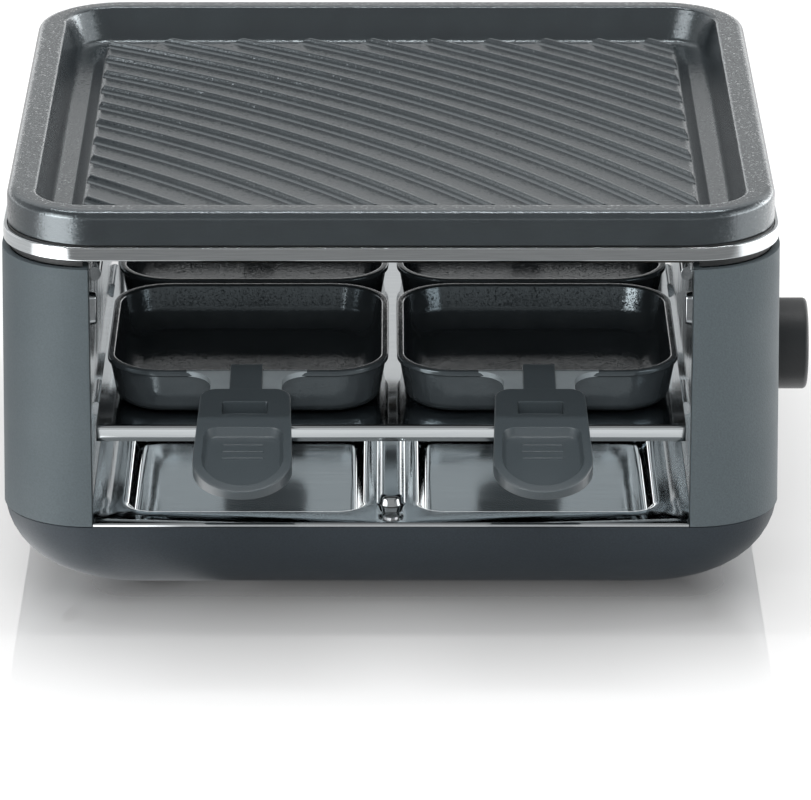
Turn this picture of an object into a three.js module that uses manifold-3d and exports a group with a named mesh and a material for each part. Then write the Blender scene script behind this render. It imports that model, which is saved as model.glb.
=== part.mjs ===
// A compact table raclette grill: a ribbed cast plate over four small pans on a shelf.
// Millimetres. X runs to the right seen from the front, Y to the back, Z up from the table.
import * as THREE from "three";
import { mergeVertices } from "three/addons/utils/BufferGeometryUtils.js";
import Module from "manifold-3d";

const wasm = await Module();
wasm.setup();

// Shared clearances and counts.
const seat = 0.3; // between pieces that touch
const past = 1; // how far a cutting or joining body runs past a face
const weld = 1e-3; // vertices closer than this are one
const bodySteps = 5; // facets in each large corner
const smallSteps = 4; // facets in each small corner
const rodSides = 12;
const nutSides = 6;
const quarterTurn = Math.PI / 2;
const halfTurn = Math.PI;
const quarterDegrees = 90;
const halfDegrees = 180;

// Heights above the table. What carries the plate hangs from the rim, and the rest stands on the seam.
const level = { base: 3, seam: 32.6, rim: 139.2 };
const stack = { plate: 11.6, band: 4.6, gap: 2.8 };
const bandHigh = level.rim - stack.plate;
const bandLow = bandHigh - stack.band;
const housingTop = bandLow - stack.gap;
const housingLow = level.seam + seat;
const skirtLow = bandHigh + 2 * seat;

// Body outline seen from above.
const body = { halfX: 125, halfY: 122, corner: 28.5, flare: 1.05 };
const widest = body.halfX + body.flare;

// Base bowl: its side is a quarter of an ellipse that turns upright a little above the seam.
const bowl = { turnUp: 4.4, inset: 36, wall: 2.6, cornerShare: 0.3, arcs: 5 };
const turnZ = level.seam + bowl.turnUp;

// Side housings with the openings between them, and their screw posts.
const shell = { wall: 2.4, edge: 0.8, face: 28.8, jambWall: 2, jambDeep: 8 };
const openingX = body.halfX - shell.face;
const sideY = body.halfY - shell.jambDeep - seat;
const post = { inX: 21, inY: 27, radius: 4.5, lowTall: 11.4, highDeep: 22.2, highTall: 10, web: 2 };
const postX = body.halfX - post.inX;
const postY = body.halfY - post.inY;
const postLowTop = level.seam + post.lowTall;
const postHighLow = housingTop - post.highDeep;
const postHighTop = postHighLow + post.highTall;
const well = { radius: 5.5, deep: 6.6, floorDeep: 12.6 };
const wellTop = level.seam - well.deep;
const wellFloor = level.seam - well.floorDeep;

// Screws: shank, shank hole and head.
const screw = {
  radius: 1.5,
  head: 3.2,
  headTall: 2.6,
  slot: 1,
  slotDeep: 1.2,
  slotShare: 0.62,
  topShare: 0.86,
  sides: 6,
};
const screwHole = screw.radius + seat;
const baseScrewLong = 20;
const topScrewLong = 18;

// Trim band and the frame behind it.
const band = { inset: 0.5, thick: 1.2, edge: 0.4 };
const frame = { ringWide: 5.6, deckInset: 2.1, deckThick: 3.2, boltDeep: 9 };

// Cast grill plate. Its margins lead in from the body, over the rim and the gutter to the field.
const margin = {
  sideX: 1.8,
  sideY: 0.9,
  corner: 2.5,
  rimX: 9.4,
  rimY: 8.2,
  gutter: 10.6,
  slope: 4.4,
  front: 11.3,
  rear: 24.5,
};
const plate = {
  halfX: body.halfX - margin.sideX,
  halfY: body.halfY - margin.sideY,
  corner: body.corner + margin.corner,
  skirt: 3,
  shoulder: 6.5,
  rimCorner: 17,
  rimCornerShare: 0.6,
  lip: 0.7,
  wallLean: 3.6,
  wallFillet: 1.2,
  gutterDeep: 12.2,
  gutterThick: 3,
  fieldCorner: 8,
  fieldDeep: 6.9,
  fieldThick: 4,
  underDeep: 3.8,
  arcs: 4,
};
const rimX = plate.halfX - margin.rimX;
const rimY = plate.halfY - margin.rimY;
const gutterX = rimX - margin.gutter;
const fieldX = gutterX - margin.slope;
const fieldFrontY = margin.front - rimY;
const fieldRearY = rimY - margin.rear;
const fieldMiddleY = (fieldFrontY + fieldRearY) / 2;
const fieldLongY = (fieldRearY - fieldFrontY) / 2;
const gutterZ = level.rim - plate.gutterDeep;
const fieldZ = level.rim - plate.fieldDeep;
const undersideZ = level.rim - plate.underDeep;

// Ribs: arcs about one centre, from the field's far corner inwards, with a pitch that widens.
const rib = {
  centre: -400,
  farIn: 7.1,
  pitch: 12.4,
  pitchGrowth: 0.11,
  tall: 3.4,
  sunk: 1,
  crestHalf: 0.4,
  shoulderHalf: 1.4,
  shoulderTall: 0.8,
  footHalf: 2.8,
  endLean: 2.2,
  stepLong: 34,
};

// Lower tray: four recesses between its side, its front edge, its middle and its centre line.
const tray = {
  up: 1.5,
  sheet: 1.2,
  under: 3.3,
  side: 10.2,
  middle: 8.4,
  front: 12,
  centre: 25,
  recessCorner: 9,
  cornerShare: 0.5,
  recessDeep: 4.5,
  recessSlope: 3.4,
  recessSoft: 0.8,
  beadHalf: 4.45,
  beadIn: 13,
  beadTall: 3.3,
  dimple: 4.1,
  dimpleDeep: 0.8,
  screwIn: 6,
  bossRadius: 4,
  bossDeep: 14.6,
  screwHead: 2.75,
  screwHeadTall: 1,
  screwLong: 12,
};
// The bead's section, as shares of its half width and its height.
const beadShape = [
  { wide: 1, high: -0.2 },
  { wide: 1, high: 0 },
  { wide: 0.86, high: 0.7 },
  { wide: 0.42, high: 1 },
];
const trayZ = level.seam + tray.up;
const trayHalfX = openingX + tray.under;
const recessHalfX = (openingX - tray.side - tray.middle) / 2;
const recessX = tray.middle + recessHalfX;
const recessHalfY = (body.halfY - tray.front - tray.centre) / 2;
const recessY = tray.centre + recessHalfY;
const beadHalfY = body.halfY - tray.beadIn;
const trayScrewY = body.halfY - tray.screwIn;
const trayBossLow = level.seam - tray.bossDeep;

// Inner side walls, with pressed beads that carry the shelf and the rails.
const lining = { behind: 0.7, sheet: 1, beadRadius: 2.6, beadLong: 22, beadIn: 62 };
const liningX = openingX + lining.behind;
const shelfBeadY = body.halfY - lining.beadIn;

// Pan shelf.
const shelf = { up: 26.5, inY: 23.8, lip: 5.5, sheet: 1.2, bend: 1.5, bendSteps: 4 };
const shelfZ = level.seam + shelf.up;
const shelfHalfX = liningX - seat;
const shelfHalfY = body.halfY - shelf.inY;

// Heating element, bent back and forth with even legs, and its rails.
const heater = { radius: 3.25, deep: 8.2, inY: 42, legs: 4, endOut: 7.1, sideGap: 9, arcs: 6, sides: 8 };
const heaterZ = housingTop - heater.deep;
const legY = body.halfY - heater.inY;
const legPitch = (2 * legY) / (heater.legs - 1);
const turnX = liningX - heater.sideGap - heater.radius - legPitch / 2;
const heaterEndX = liningX + heater.endOut;
const rail = { inY: 68.5, halfWide: 5, tall: 6, sheet: 1 };
const railY = body.halfY - rail.inY;
const railHigh = heaterZ - heater.radius - seat;

// Thermostat, its knob, the wires' terminal block and the cord's inlet.
const thermostat = {
  inY: 62,
  up: 41.4,
  long: 17,
  wide: 26,
  tall: 24,
  corner: 2,
  bushRadius: 4,
  bushOut: 3.4,
  nutFlats: 11,
  nutThick: 2,
  bracketThick: 1.2,
  bracketWide: 34,
  bracketTall: 36,
  spindle: 2.8,
};
const dialY = thermostat.inY - body.halfY;
const dialZ = level.seam + thermostat.up;
const knob = {
  radius: 15,
  long: 10.85,
  rim: 1.4,
  crown: 0.6,
  cavity: 12.3,
  cavityDeep: 3.6,
  bore: 8.6,
  arcs: 2,
};
const knobBackX = widest + seat;
const tipX = knobBackX + knob.long;
const block = { long: 9, wide: 30, tall: 12, deep: 32.2, pit: 2.2, pitDeep: 2.5, pitY: 8 };
const blockZ = housingTop - block.deep;
const gland = { inY: 52, up: 13.4, flange: 8, flangeThick: 2, stem: 5.6, stemLong: 6, pit: 3.4, pitDeep: 3 };
const glandY = body.halfY - gland.inY;
const glandZ = level.seam + gland.up;

// Feet.
const foot = { inX: 49, inY: 50, radius: 8, stem: 2.5, barb: 3.4, barbTall: 1.6, edge: 0.6 };
const footX = body.halfX - foot.inX;
const footY = body.halfY - foot.inY;

// Pans: they fill the opening but for these gaps, and the right ones stand a little further out.
const pan = {
  spare: 4.3,
  leftGap: 0.85,
  rightGap: 1.95,
  backGap: 1.5,
  inY: 32.5,
  corner: 19,
  cornerShare: 0.8,
  tall: 15.7,
  rimThick: 2,
  rimEdge: 0.6,
  flange: 3.1,
  wall: 1.5,
  draft: 1.8,
  bend: 3.8,
  bendSteps: 2,
};
const panHalfX = (openingX - pan.spare) / 2;
const panHalfY = (body.halfY - pan.inY) / 2;
const panY = panHalfY + pan.backGap;
const panLowZ = shelfZ + seat;
const panRimZ = panLowZ + pan.tall;
const tab = { half: 11.5, fillet: 8, thick: 1.8, long: 21, drop: 0.1, tilt: 0.1135, corner: 2 };

// Pan handles, in a frame whose top is the tab's top and whose -Y runs outwards along the tilt.
const grip = {
  start: 15,
  end: 83.5,
  top: 1.4,
  low: -3.8,
  shoulderHalf: 14.4,
  shoulderCorner: 6,
  wideHalf: 15.7,
  wideAt: 64.5,
  edge: 1,
  underEdge: 1.4,
  arcs: 4,
  tongueHalf: 5.25,
  tongueStart: -3.4,
  tongueTop: 1.1,
  notchHalf: 7.2,
  notchStart: 24.5,
  notchEnd: 33.3,
  notchDeep: 2.4,
  wellStart: 43,
  wellEnd: 78.5,
  wellHalf: 12.2,
  wellDeep: 2.8,
  wellShort: 11,
  wellNarrow: 3,
  screwAt: 18,
};

const coatedCast = { color: 0x434849, roughness: 0.42, metalness: 0.35 };
const satinSteel = { color: 0xb4b7b8, roughness: 0.3, metalness: 1 };
const mirrorSteel = { color: 0xd6d8d9, roughness: 0.08, metalness: 1 };
const greyPlastic = { color: 0x4b5053, roughness: 0.58, metalness: 0 };
const blackPlastic = { color: 0x33373a, roughness: 0.6, metalness: 0 };
const panCoating = { color: 0x1d2021, roughness: 0.35, metalness: 0.3 };
const gripPlastic = { color: 0x43484b, roughness: 0.62, metalness: 0 };
const zincSteel = { color: 0x9fa3a5, roughness: 0.35, metalness: 1 };
const elementSteel = { color: 0x6a645e, roughness: 0.45, metalness: 1 };
const knobPlastic = { color: 0x24282a, roughness: 0.5, metalness: 0 };
const paleCeramic = { color: 0xd9d4c8, roughness: 0.7, metalness: 0 };
const footRubber = { color: 0x1c1d1e, roughness: 0.85, metalness: 0 };

// A solid that can be cut and joined, from any closed geometry.
function solid(geometry) {
  const loose = geometry.index ? geometry.toNonIndexed() : geometry;
  const bare = new THREE.BufferGeometry();
  bare.setAttribute("position", loose.getAttribute("position"));
  const merged = mergeVertices(bare, weld);
  const triVerts = new Uint32Array(merged.index.array);
  const vertProperties = merged.attributes.position.array;
  return new wasm.Manifold(new wasm.Mesh({ numProp: 3, vertProperties, triVerts }));
}

// The geometry of a solid, flat shaded.
function skinOf(made) {
  const data = made.getMesh();
  const geometry = new THREE.BufferGeometry();
  geometry.setAttribute("position", new THREE.BufferAttribute(new Float32Array(data.vertProperties), 3));
  geometry.setIndex(new THREE.BufferAttribute(new Uint32Array(data.triVerts), 1));
  const flat = geometry.toNonIndexed();
  flat.computeVertexNormals();
  return flat;
}

function joined(...pieces) {
  return pieces.reduce((sum, piece) => sum.add(piece));
}

function cut(made, ...tools) {
  return tools.reduce((left, tool) => left.subtract(tool), made);
}

// A named mesh in a group, at a place given in millimetres.
function place(group, name, made, finish, x = 0, y = 0, z = 0) {
  const mesh = new THREE.Mesh(skinOf(made), new THREE.MeshStandardMaterial(finish));
  mesh.name = name;
  mesh.position.set(x, y, z);
  group.add(mesh);
  return mesh;
}

// A closed skin through rings of as many points each; a hoop joins its last ring to its first.
function ringSkin(rings, hoop = false) {
  const count = rings[0].length;
  const spots = rings.flat();
  const faces = [];
  const spans = hoop ? rings.length : rings.length - 1;
  for (let span = 0; span < spans; span++) {
    const low = span * count;
    const high = ((span + 1) % rings.length) * count;
    for (let i = 0; i < count; i++) {
      const next = (i + 1) % count;
      faces.push(low + i, low + next, high + next, low + i, high + next, high + i);
    }
  }
  if (!hoop) {
    const last = spots.length - count;
    const lowCap = spots.push(middleOf(rings[0])) - 1;
    const highCap = spots.push(middleOf(rings.at(-1))) - 1;
    for (let i = 0; i < count; i++) {
      const next = (i + 1) % count;
      faces.push(lowCap, next, i, highCap, last + i, last + next);
    }
  }
  const geometry = new THREE.BufferGeometry().setFromPoints(spots);
  geometry.setIndex(faces);
  return solid(geometry);
}

function middleOf(ring) {
  const sum = new THREE.Vector3();
  ring.forEach((spot) => sum.add(spot));
  return sum.divideScalar(ring.length);
}

// The points of a rounded rectangle, anticlockwise seen from above.
function roundedRing({ halfX, halfY, radius, z, atX = 0, atY = 0 }, steps) {
  const ring = [];
  for (let quarter = 0; quarter < 4; quarter++) {
    const signX = quarter % 3 === 0 ? 1 : -1;
    const signY = quarter < 2 ? 1 : -1;
    for (let step = 0; step <= steps; step++) {
      const angle = (quarter + step / steps) * quarterTurn;
      const x = atX + signX * (halfX - radius) + radius * Math.cos(angle);
      const y = atY + signY * (halfY - radius) + radius * Math.sin(angle);
      ring.push(new THREE.Vector3(x, y, z));
    }
  }
  return ring;
}

// A solid through rounded rectangles at the given levels.
function loft(levels, steps = bodySteps, hoop = false) {
  return ringSkin(levels.map((one) => roundedRing(one, steps)), hoop);
}

// A box between two corners.
function span(lowX, highX, lowY, highY, lowZ, highZ) {
  const box = new THREE.BoxGeometry(highX - lowX, highY - lowY, highZ - lowZ);
  box.translate((lowX + highX) / 2, (lowY + highY) / 2, (lowZ + highZ) / 2);
  return solid(box);
}

// An upright cylinder or cone between two heights.
function upright(lowRadius, highRadius, lowZ, highZ, sides = rodSides) {
  const geometry = new THREE.CylinderGeometry(highRadius, lowRadius, highZ - lowZ, sides);
  geometry.rotateX(quarterTurn);
  geometry.translate(0, 0, (lowZ + highZ) / 2);
  return solid(geometry);
}

// A cylinder along X between two stations.
function lengthwise(radius, lowX, highX, sides = rodSides) {
  const geometry = new THREE.CylinderGeometry(radius, radius, highX - lowX, sides);
  geometry.rotateZ(-quarterTurn);
  geometry.translate((lowX + highX) / 2, 0, 0);
  return solid(geometry);
}

// The body's outline at a height, drawn in by a distance.
function bodyLevel(z, inset) {
  const share = (housingTop - z) / (housingTop - level.seam);
  const flare = body.flare * THREE.MathUtils.clamp(share, 0, 1);
  return {
    halfX: body.halfX + flare - inset,
    halfY: body.halfY - inset,
    radius: body.corner - inset,
    z,
  };
}

// The four corners of a rectangle of fixings, as sign pairs with a name.
const corners = [
  { name: "front_left", signX: -1, signY: -1 },
  { name: "front_right", signX: 1, signY: -1 },
  { name: "rear_left", signX: -1, signY: 1 },
  { name: "rear_right", signX: 1, signY: 1 },
];

// A screw with its head below zero and its shank pointing up, with one slot or a cross.
function screwSolid(long, crossed = false, headRadius = screw.head, headTall = screw.headTall) {
  const slotHalf = screw.slot / 2;
  const slotLong = headRadius * screw.slotShare;
  const slotTop = -headTall + Math.min(screw.slotDeep, headTall / 2);
  const head = upright(headRadius * screw.topShare, headRadius, -headTall, 0);
  const whole = joined(head, upright(screw.radius, screw.radius, -headTall / 2, long, screw.sides));
  const slot = span(-slotLong, slotLong, -slotHalf, slotHalf, -headTall - past, slotTop);
  return crossed ? cut(whole, slot, slot.rotate([0, 0, quarterDegrees])) : cut(whole, slot);
}

// Levels of the bowl from its flat bottom up to where it ends, for the outside or the inside.
function bowlLevels(wall, endZ) {
  const deep = turnZ - level.base - wall;
  const endAngle = Math.asin(Math.max(turnZ - endZ, 0) / deep);
  const levels = [];
  for (let arc = 0; arc <= bowl.arcs; arc++) {
    const angle = quarterTurn + (endAngle - quarterTurn) * (arc / bowl.arcs);
    const inset = wall + (bowl.inset - wall) * (1 - Math.cos(angle));
    levels.push({
      halfX: widest - inset,
      halfY: body.halfY - inset,
      radius: body.corner - wall - (inset - wall) * bowl.cornerShare,
      z: turnZ - deep * Math.sin(angle),
    });
  }
  return levels;
}

function basePan() {
  const outside = loft(bowlLevels(0, level.seam));
  const floorZ = level.base + bowl.wall;
  let made = cut(outside, loft(bowlLevels(bowl.wall, level.seam + past)));
  for (const { signX, signY } of corners) {
    const boss = upright(well.radius, well.radius, 0, wellTop);
    made = made.add(boss.translate([signX * postX, signY * postY, 0]).intersect(outside));
    const sink = upright(screw.head + 2 * seat, screw.head + 2 * seat, -past, wellFloor);
    const hole = upright(screwHole, screwHole, 0, wellTop + past);
    const footHole = upright(foot.stem + seat, foot.stem + seat, 0, floorZ + past);
    made = cut(
      made,
      sink.translate([signX * postX, signY * postY, 0]),
      hole.translate([signX * postX, signY * postY, 0]),
      footHole.translate([signX * footX, signY * footY, 0]),
    );
  }
  for (const sign of [-1, 1]) {
    const boss = upright(tray.bossRadius, tray.bossRadius, trayBossLow, level.seam);
    const hole = upright(screwHole, screwHole, trayBossLow + bowl.wall, level.seam + past);
    made = made.add(boss.translate([0, sign * trayScrewY, 0]).intersect(outside));
    made = made.subtract(hole.translate([0, sign * trayScrewY, 0]));
  }
  return made;
}

function footSolid() {
  const pad = joined(
    upright(foot.radius - foot.edge, foot.radius, 0, foot.edge),
    upright(foot.radius, foot.radius, foot.edge, level.base - seat),
  );
  const barbLow = level.base + bowl.wall + seat;
  return joined(
    pad,
    upright(foot.stem, foot.stem, level.base - 2 * seat, barbLow + seat, smallSteps * 2),
    upright(foot.barb, foot.stem - 2 * seat, barbLow, barbLow + foot.barbTall, smallSteps * 2),
  );
}

// A side housing: a shell with its two front corners and the jambs of the openings.
function housing(side) {
  const bounds = (lowX, highX) => (side > 0 ? [lowX, highX] : [-highX, -lowX]);
  const jambInner = openingX + shell.jambWall;
  const tall = [housingLow - past, housingTop + past];
  const outside = loft([
    bodyLevel(housingLow, 0),
    bodyLevel(housingTop - shell.edge, 0),
    bodyLevel(housingTop, shell.edge),
  ]);
  const inside = loft([bodyLevel(tall[0], shell.wall), bodyLevel(tall[1], shell.wall)]);
  const half = outside.intersect(
    span(...bounds(openingX, widest + past), -body.halfY - past, body.halfY + past, ...tall),
  );
  const room = inside.intersect(
    span(...bounds(jambInner, widest + past), -body.halfY, body.halfY, ...tall),
  );
  const middleY = body.halfY - shell.jambDeep;
  let made = cut(half, room, span(...bounds(0, jambInner + past / 2), -middleY, middleY, ...tall));
  const wallX = body.halfX - shell.wall / 2;
  const wallY = body.halfY - shell.wall / 2;
  for (const signY of [-1, 1]) {
    const spot = [side * postX, signY * postY, 0];
    const webSide = (lowZ, highZ) =>
      span(...bounds(postX, wallX), spot[1] - post.web / 2, spot[1] + post.web / 2, lowZ, highZ);
    const webFront = (lowZ, highZ) =>
      span(
        spot[0] - post.web / 2,
        spot[0] + post.web / 2,
        Math.min(spot[1], signY * wallY),
        Math.max(spot[1], signY * wallY),
        lowZ,
        highZ,
      );
    made = joined(
      made,
      webSide(housingLow, postLowTop),
      webFront(housingLow, postLowTop),
      webSide(postHighLow, postHighTop),
      webFront(postHighLow, postHighTop),
      upright(post.radius, post.radius, wellTop + seat, postLowTop).translate(spot),
      upright(post.radius, post.radius, postHighLow, postHighTop).translate(spot),
    );
    made = cut(
      made,
      upright(screwHole, screwHole, 0, postLowTop - post.web).translate(spot),
      upright(screwHole, screwHole, postHighLow - past, postHighTop + past).translate(spot),
    );
  }
  if (side < 0) return made;
  const bushHole = lengthwise(thermostat.bushRadius + seat, postX, widest + past);
  const glandHole = lengthwise(gland.stem + seat, postX, widest + past);
  return cut(
    made,
    bushHole.translate([0, dialY, dialZ]),
    glandHole.translate([0, glandY, glandZ]),
  );
}

function bandLevel(z, inset) {
  const away = band.inset + inset;
  return { halfX: body.halfX - away, halfY: body.halfY - inset, radius: body.corner - away, z };
}

function trimBand() {
  return loft(
    [
      bandLevel(bandLow, band.thick),
      bandLevel(bandLow, band.edge),
      bandLevel(bandLow + band.edge, 0),
      bandLevel(bandHigh - band.edge, 0),
      bandLevel(bandHigh, band.edge),
      bandLevel(bandHigh, band.thick),
    ],
    bodySteps,
    true,
  );
}

// The frame under the plate: a ring behind the band, and a deck over each housing.
function topFrame() {
  const outer = band.thick + seat;
  const inner = outer + frame.ringWide;
  const ringLow = bandLow + seat;
  const ringHigh = bandHigh + seat;
  const deckLow = housingTop + seat;
  const deckHigh = deckLow + frame.deckThick;
  const ring = loft(
    [
      bandLevel(ringLow, inner),
      bandLevel(ringLow, outer),
      bandLevel(ringHigh, outer),
      bandLevel(ringHigh, inner),
    ],
    bodySteps,
    true,
  );
  const deckCore = loft([bandLevel(deckLow, frame.deckInset), bandLevel(deckHigh, frame.deckInset)]);
  const middleX = liningX + lining.sheet;
  const deck = cut(
    deckCore,
    span(-middleX, middleX, -body.halfY, body.halfY, deckLow - past, deckHigh + past),
  );
  let made = joined(ring, deck);
  for (const { signX, signY } of corners) {
    const spot = [signX * postX, signY * postY, 0];
    made = made.add(upright(post.radius, post.radius, postHighTop + seat, deckHigh).translate(spot));
    made = made.subtract(
      upright(screwHole, screwHole, postHighTop, postHighTop + seat + frame.boltDeep).translate(spot),
    );
  }
  return made;
}

// The plate's section as rounded rectangles: under the field, out to the skirt, over the rim and in.
function plateLevels() {
  const slope = gutterX - fieldX;
  const outer = (z, inset) => ({
    halfX: plate.halfX - inset,
    halfY: plate.halfY - inset,
    radius: plate.corner - inset,
    z,
  });
  const rim = (z, inset) => ({
    halfX: rimX - inset,
    halfY: rimY - inset,
    radius: plate.rimCorner - inset * plate.rimCornerShare,
    z,
  });
  const gutter = (z, inset) => ({
    halfX: gutterX - inset,
    halfY: fieldLongY + slope - inset,
    radius: plate.fieldCorner + slope - inset,
    z,
    atY: fieldMiddleY,
  });
  const field = (z, inset) => ({
    halfX: fieldX - inset,
    halfY: fieldLongY - inset,
    radius: plate.fieldCorner - inset,
    z,
    atY: fieldMiddleY,
  });
  const underZ = gutterZ - plate.gutterThick;
  const levels = [
    field(fieldZ - plate.fieldThick, plate.skirt),
    gutter(underZ, plate.skirt),
    rim(underZ, plate.wallFillet),
    rim(underZ + plate.gutterThick, 0),
    rim(undersideZ, -plate.lip - plate.wallFillet),
    outer(undersideZ, plate.skirt + plate.lip),
    outer(undersideZ - plate.wallFillet, plate.skirt),
    outer(skirtLow, plate.skirt),
    outer(skirtLow, 0),
  ];
  for (let arc = 0; arc <= plate.arcs; arc++) {
    const angle = (arc / plate.arcs) * quarterTurn;
    levels.push(outer(
      level.rim - plate.shoulder * (1 - Math.sin(angle)),
      plate.shoulder * (1 - Math.cos(angle)),
    ));
  }
  levels.push(
    rim(level.rim, -plate.lip),
    rim(level.rim - plate.lip, 0),
    rim(gutterZ + plate.wallFillet, plate.wallLean),
    rim(gutterZ, plate.wallLean + plate.wallFillet),
    gutter(gutterZ, 0),
    field(fieldZ - plate.lip, -plate.lip),
    field(fieldZ, 0),
  );
  return levels;
}

// One rib: its section swept along an arc that covers the field.
function ribSweep(radius) {
  const farX = fieldX + past - rib.centre;
  const nearX = -fieldX - past - rib.centre;
  const farY = fieldMiddleY + fieldLongY + past - rib.centre;
  const nearY = fieldMiddleY - fieldLongY - past - rib.centre;
  const start = Math.max(Math.acos(Math.min(1, farX / radius)), Math.asin(nearY / radius));
  const end = Math.min(Math.asin(Math.min(1, farY / radius)), Math.acos(nearX / radius));
  const section = [
    [rib.footHalf, -rib.sunk],
    [rib.footHalf, 0],
    [rib.shoulderHalf, rib.shoulderTall],
    [rib.crestHalf, rib.tall],
    [-rib.crestHalf, rib.tall],
    [-rib.shoulderHalf, rib.shoulderTall],
    [-rib.footHalf, 0],
    [-rib.footHalf, -rib.sunk],
  ];
  const steps = Math.ceil(((end - start) * radius) / rib.stepLong) + 1;
  const rings = [];
  for (let step = 0; step <= steps; step++) {
    const angle = end + (start - end) * (step / steps);
    rings.push(section.map(([out, up]) => new THREE.Vector3(
      rib.centre + (radius + out) * Math.cos(angle),
      rib.centre + (radius + out) * Math.sin(angle),
      fieldZ + up,
    )));
  }
  return ringSkin(rings);
}

function grillPlate() {
  const bound = (up, inset) => ({
    halfX: fieldX - inset,
    halfY: fieldLongY - inset,
    radius: plate.fieldCorner - inset,
    z: fieldZ + up,
    atY: fieldMiddleY,
  });
  const envelope = loft([bound(-2 * rib.sunk, seat), bound(0, seat), bound(rib.tall + past, rib.endLean)]);
  const farthest = Math.hypot(fieldX - rib.centre, fieldRearY - rib.centre) - rib.farIn;
  const nearest = Math.hypot(-fieldX - rib.centre, fieldFrontY - rib.centre);
  let whole = loft(plateLevels());
  let radius = farthest;
  for (let index = 0; radius > nearest; index++) {
    whole = whole.add(ribSweep(radius).intersect(envelope));
    radius -= rib.pitch + rib.pitchGrowth * (2 * index + 1);
  }
  return whole;
}

function lowerTray() {
  const lowZ = trayZ - tray.sheet;
  const tongueX = openingX - seat;
  let made = joined(
    span(-trayHalfX, trayHalfX, -sideY, sideY, lowZ, trayZ),
    span(-tongueX, tongueX, -body.halfY + seat, body.halfY - seat, lowZ, trayZ),
  );
  const recess = (spotX, spotY, grow, drop) => {
    const wall = (z, inset) => ({
      halfX: recessHalfX - inset + grow,
      halfY: recessHalfY - inset + grow,
      radius: tray.recessCorner - inset * tray.cornerShare + grow,
      z: z - drop,
      atX: spotX,
      atY: spotY,
    });
    const floorZ = trayZ - tray.recessDeep;
    return loft(
      [
        wall(floorZ, tray.recessSlope + tray.recessSoft),
        wall(floorZ + tray.recessSoft, tray.recessSlope),
        wall(trayZ, 0),
        wall(trayZ + past, -seat),
      ],
      smallSteps,
    );
  };
  const bead = (shrink, lift) => {
    const wall = (share, up) => ({
      halfX: tray.beadHalf * share - shrink,
      halfY: beadHalfY - tray.beadHalf * (1 - share) - shrink,
      radius: tray.beadHalf * share - shrink - seat / 2,
      z: trayZ + tray.beadTall * up + lift,
    });
    return loft(beadShape.map(({ wide, high }) => wall(wide, high)), smallSteps);
  };
  for (const { signX, signY } of corners) {
    const below = recess(signX * recessX, signY * recessY, tray.sheet / 2, tray.sheet);
    made = made.add(below.intersect(
      span(-trayHalfX, trayHalfX, -body.halfY, body.halfY, 0, trayZ - seat),
    ));
  }
  made = made.add(bead(0, 0));
  for (const { signX, signY } of corners) {
    made = made.subtract(recess(signX * recessX, signY * recessY, 0, 0));
  }
  const hollow = joined(
    bead(tray.sheet, -tray.sheet),
    span(
      -tray.beadHalf + tray.sheet + seat,
      tray.beadHalf - tray.sheet - seat,
      -beadHalfY + tray.beadHalf,
      beadHalfY - tray.beadHalf,
      lowZ - past,
      trayZ,
    ),
  );
  made = made.subtract(hollow);
  for (const sign of [-1, 1]) {
    const dimpleLow = trayZ - tray.dimpleDeep;
    const dimple = upright(tray.dimple - tray.dimpleDeep, tray.dimple, dimpleLow, trayZ);
    const above = upright(tray.dimple, tray.dimple, trayZ, trayZ + past);
    const hole = upright(screwHole, screwHole, lowZ - past, trayZ);
    const spot = [0, sign * trayScrewY, 0];
    made = cut(made, dimple.translate(spot), above.translate(spot), hole.translate(spot));
  }
  return made;
}

// The shelf: one sheet with its front and rear edges rolled down, as a profile along X.
function panShelf() {
  const profile = (inset) => {
    const spots = [];
    const y = shelfHalfY - inset;
    const bend = shelf.bend - inset;
    for (let step = 0; step <= shelf.bendSteps; step++) {
      const angle = (step / shelf.bendSteps) * quarterTurn;
      spots.push([
        y - bend + bend * Math.cos(angle),
        shelfZ - shelf.bend + bend * Math.sin(angle),
      ]);
    }
    return spots;
  };
  const outer = profile(0);
  const inner = profile(shelf.sheet);
  const lipZ = shelfZ - shelf.lip;
  const mirrored = (spots) => spots.map(([y, z]) => [-y, z]).reverse();
  const outline = [
    [shelfHalfY, lipZ],
    ...outer,
    ...mirrored(outer),
    [-shelfHalfY, lipZ],
    [-shelfHalfY + shelf.sheet, lipZ],
    ...mirrored(inner).reverse(),
    ...inner.reverse(),
    [shelfHalfY - shelf.sheet, lipZ],
  ];
  const shape = new THREE.Shape(outline.map(([y, z]) => new THREE.Vector2(y, z)));
  const geometry = new THREE.ExtrudeGeometry(shape, { depth: 2 * shelfHalfX, bevelEnabled: false });
  geometry.rotateX(quarterTurn);
  geometry.rotateZ(quarterTurn);
  geometry.translate(-shelfHalfX, 0, 0);
  return solid(geometry);
}

// An inner wall: a sheet with half round beads pressed inwards under what it carries.
function innerWall(side) {
  const outerX = liningX + lining.sheet;
  const bounds = (lowX, highX) => (side > 0 ? [lowX, highX] : [-highX, -lowX]);
  let made = span(...bounds(liningX, outerX), -sideY, sideY, trayZ + seat, housingTop);
  const bead = (y, topZ) => {
    const rod = new THREE.CylinderGeometry(lining.beadRadius, lining.beadRadius, lining.beadLong, rodSides);
    rod.translate(side * (liningX + lining.sheet / 2), y, topZ - lining.beadRadius);
    return solid(rod).intersect(
      span(...bounds(0, liningX + lining.sheet / 2), -sideY, sideY, 0, topZ + past),
    );
  };
  const shelfBead = shelfZ - shelf.sheet - seat;
  const railBead = railHigh - rail.tall - seat;
  for (const sign of [-1, 1]) {
    made = joined(made, bead(sign * shelfBeadY, shelfBead), bead(sign * railY, railBead));
  }
  if (side < 0) return made;
  const lead = lengthwise(heater.radius + seat, liningX - past, outerX + past);
  return cut(
    made,
    lead.translate([0, -legY, heaterZ]),
    lead.translate([0, legY, heaterZ]),
  );
}

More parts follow.
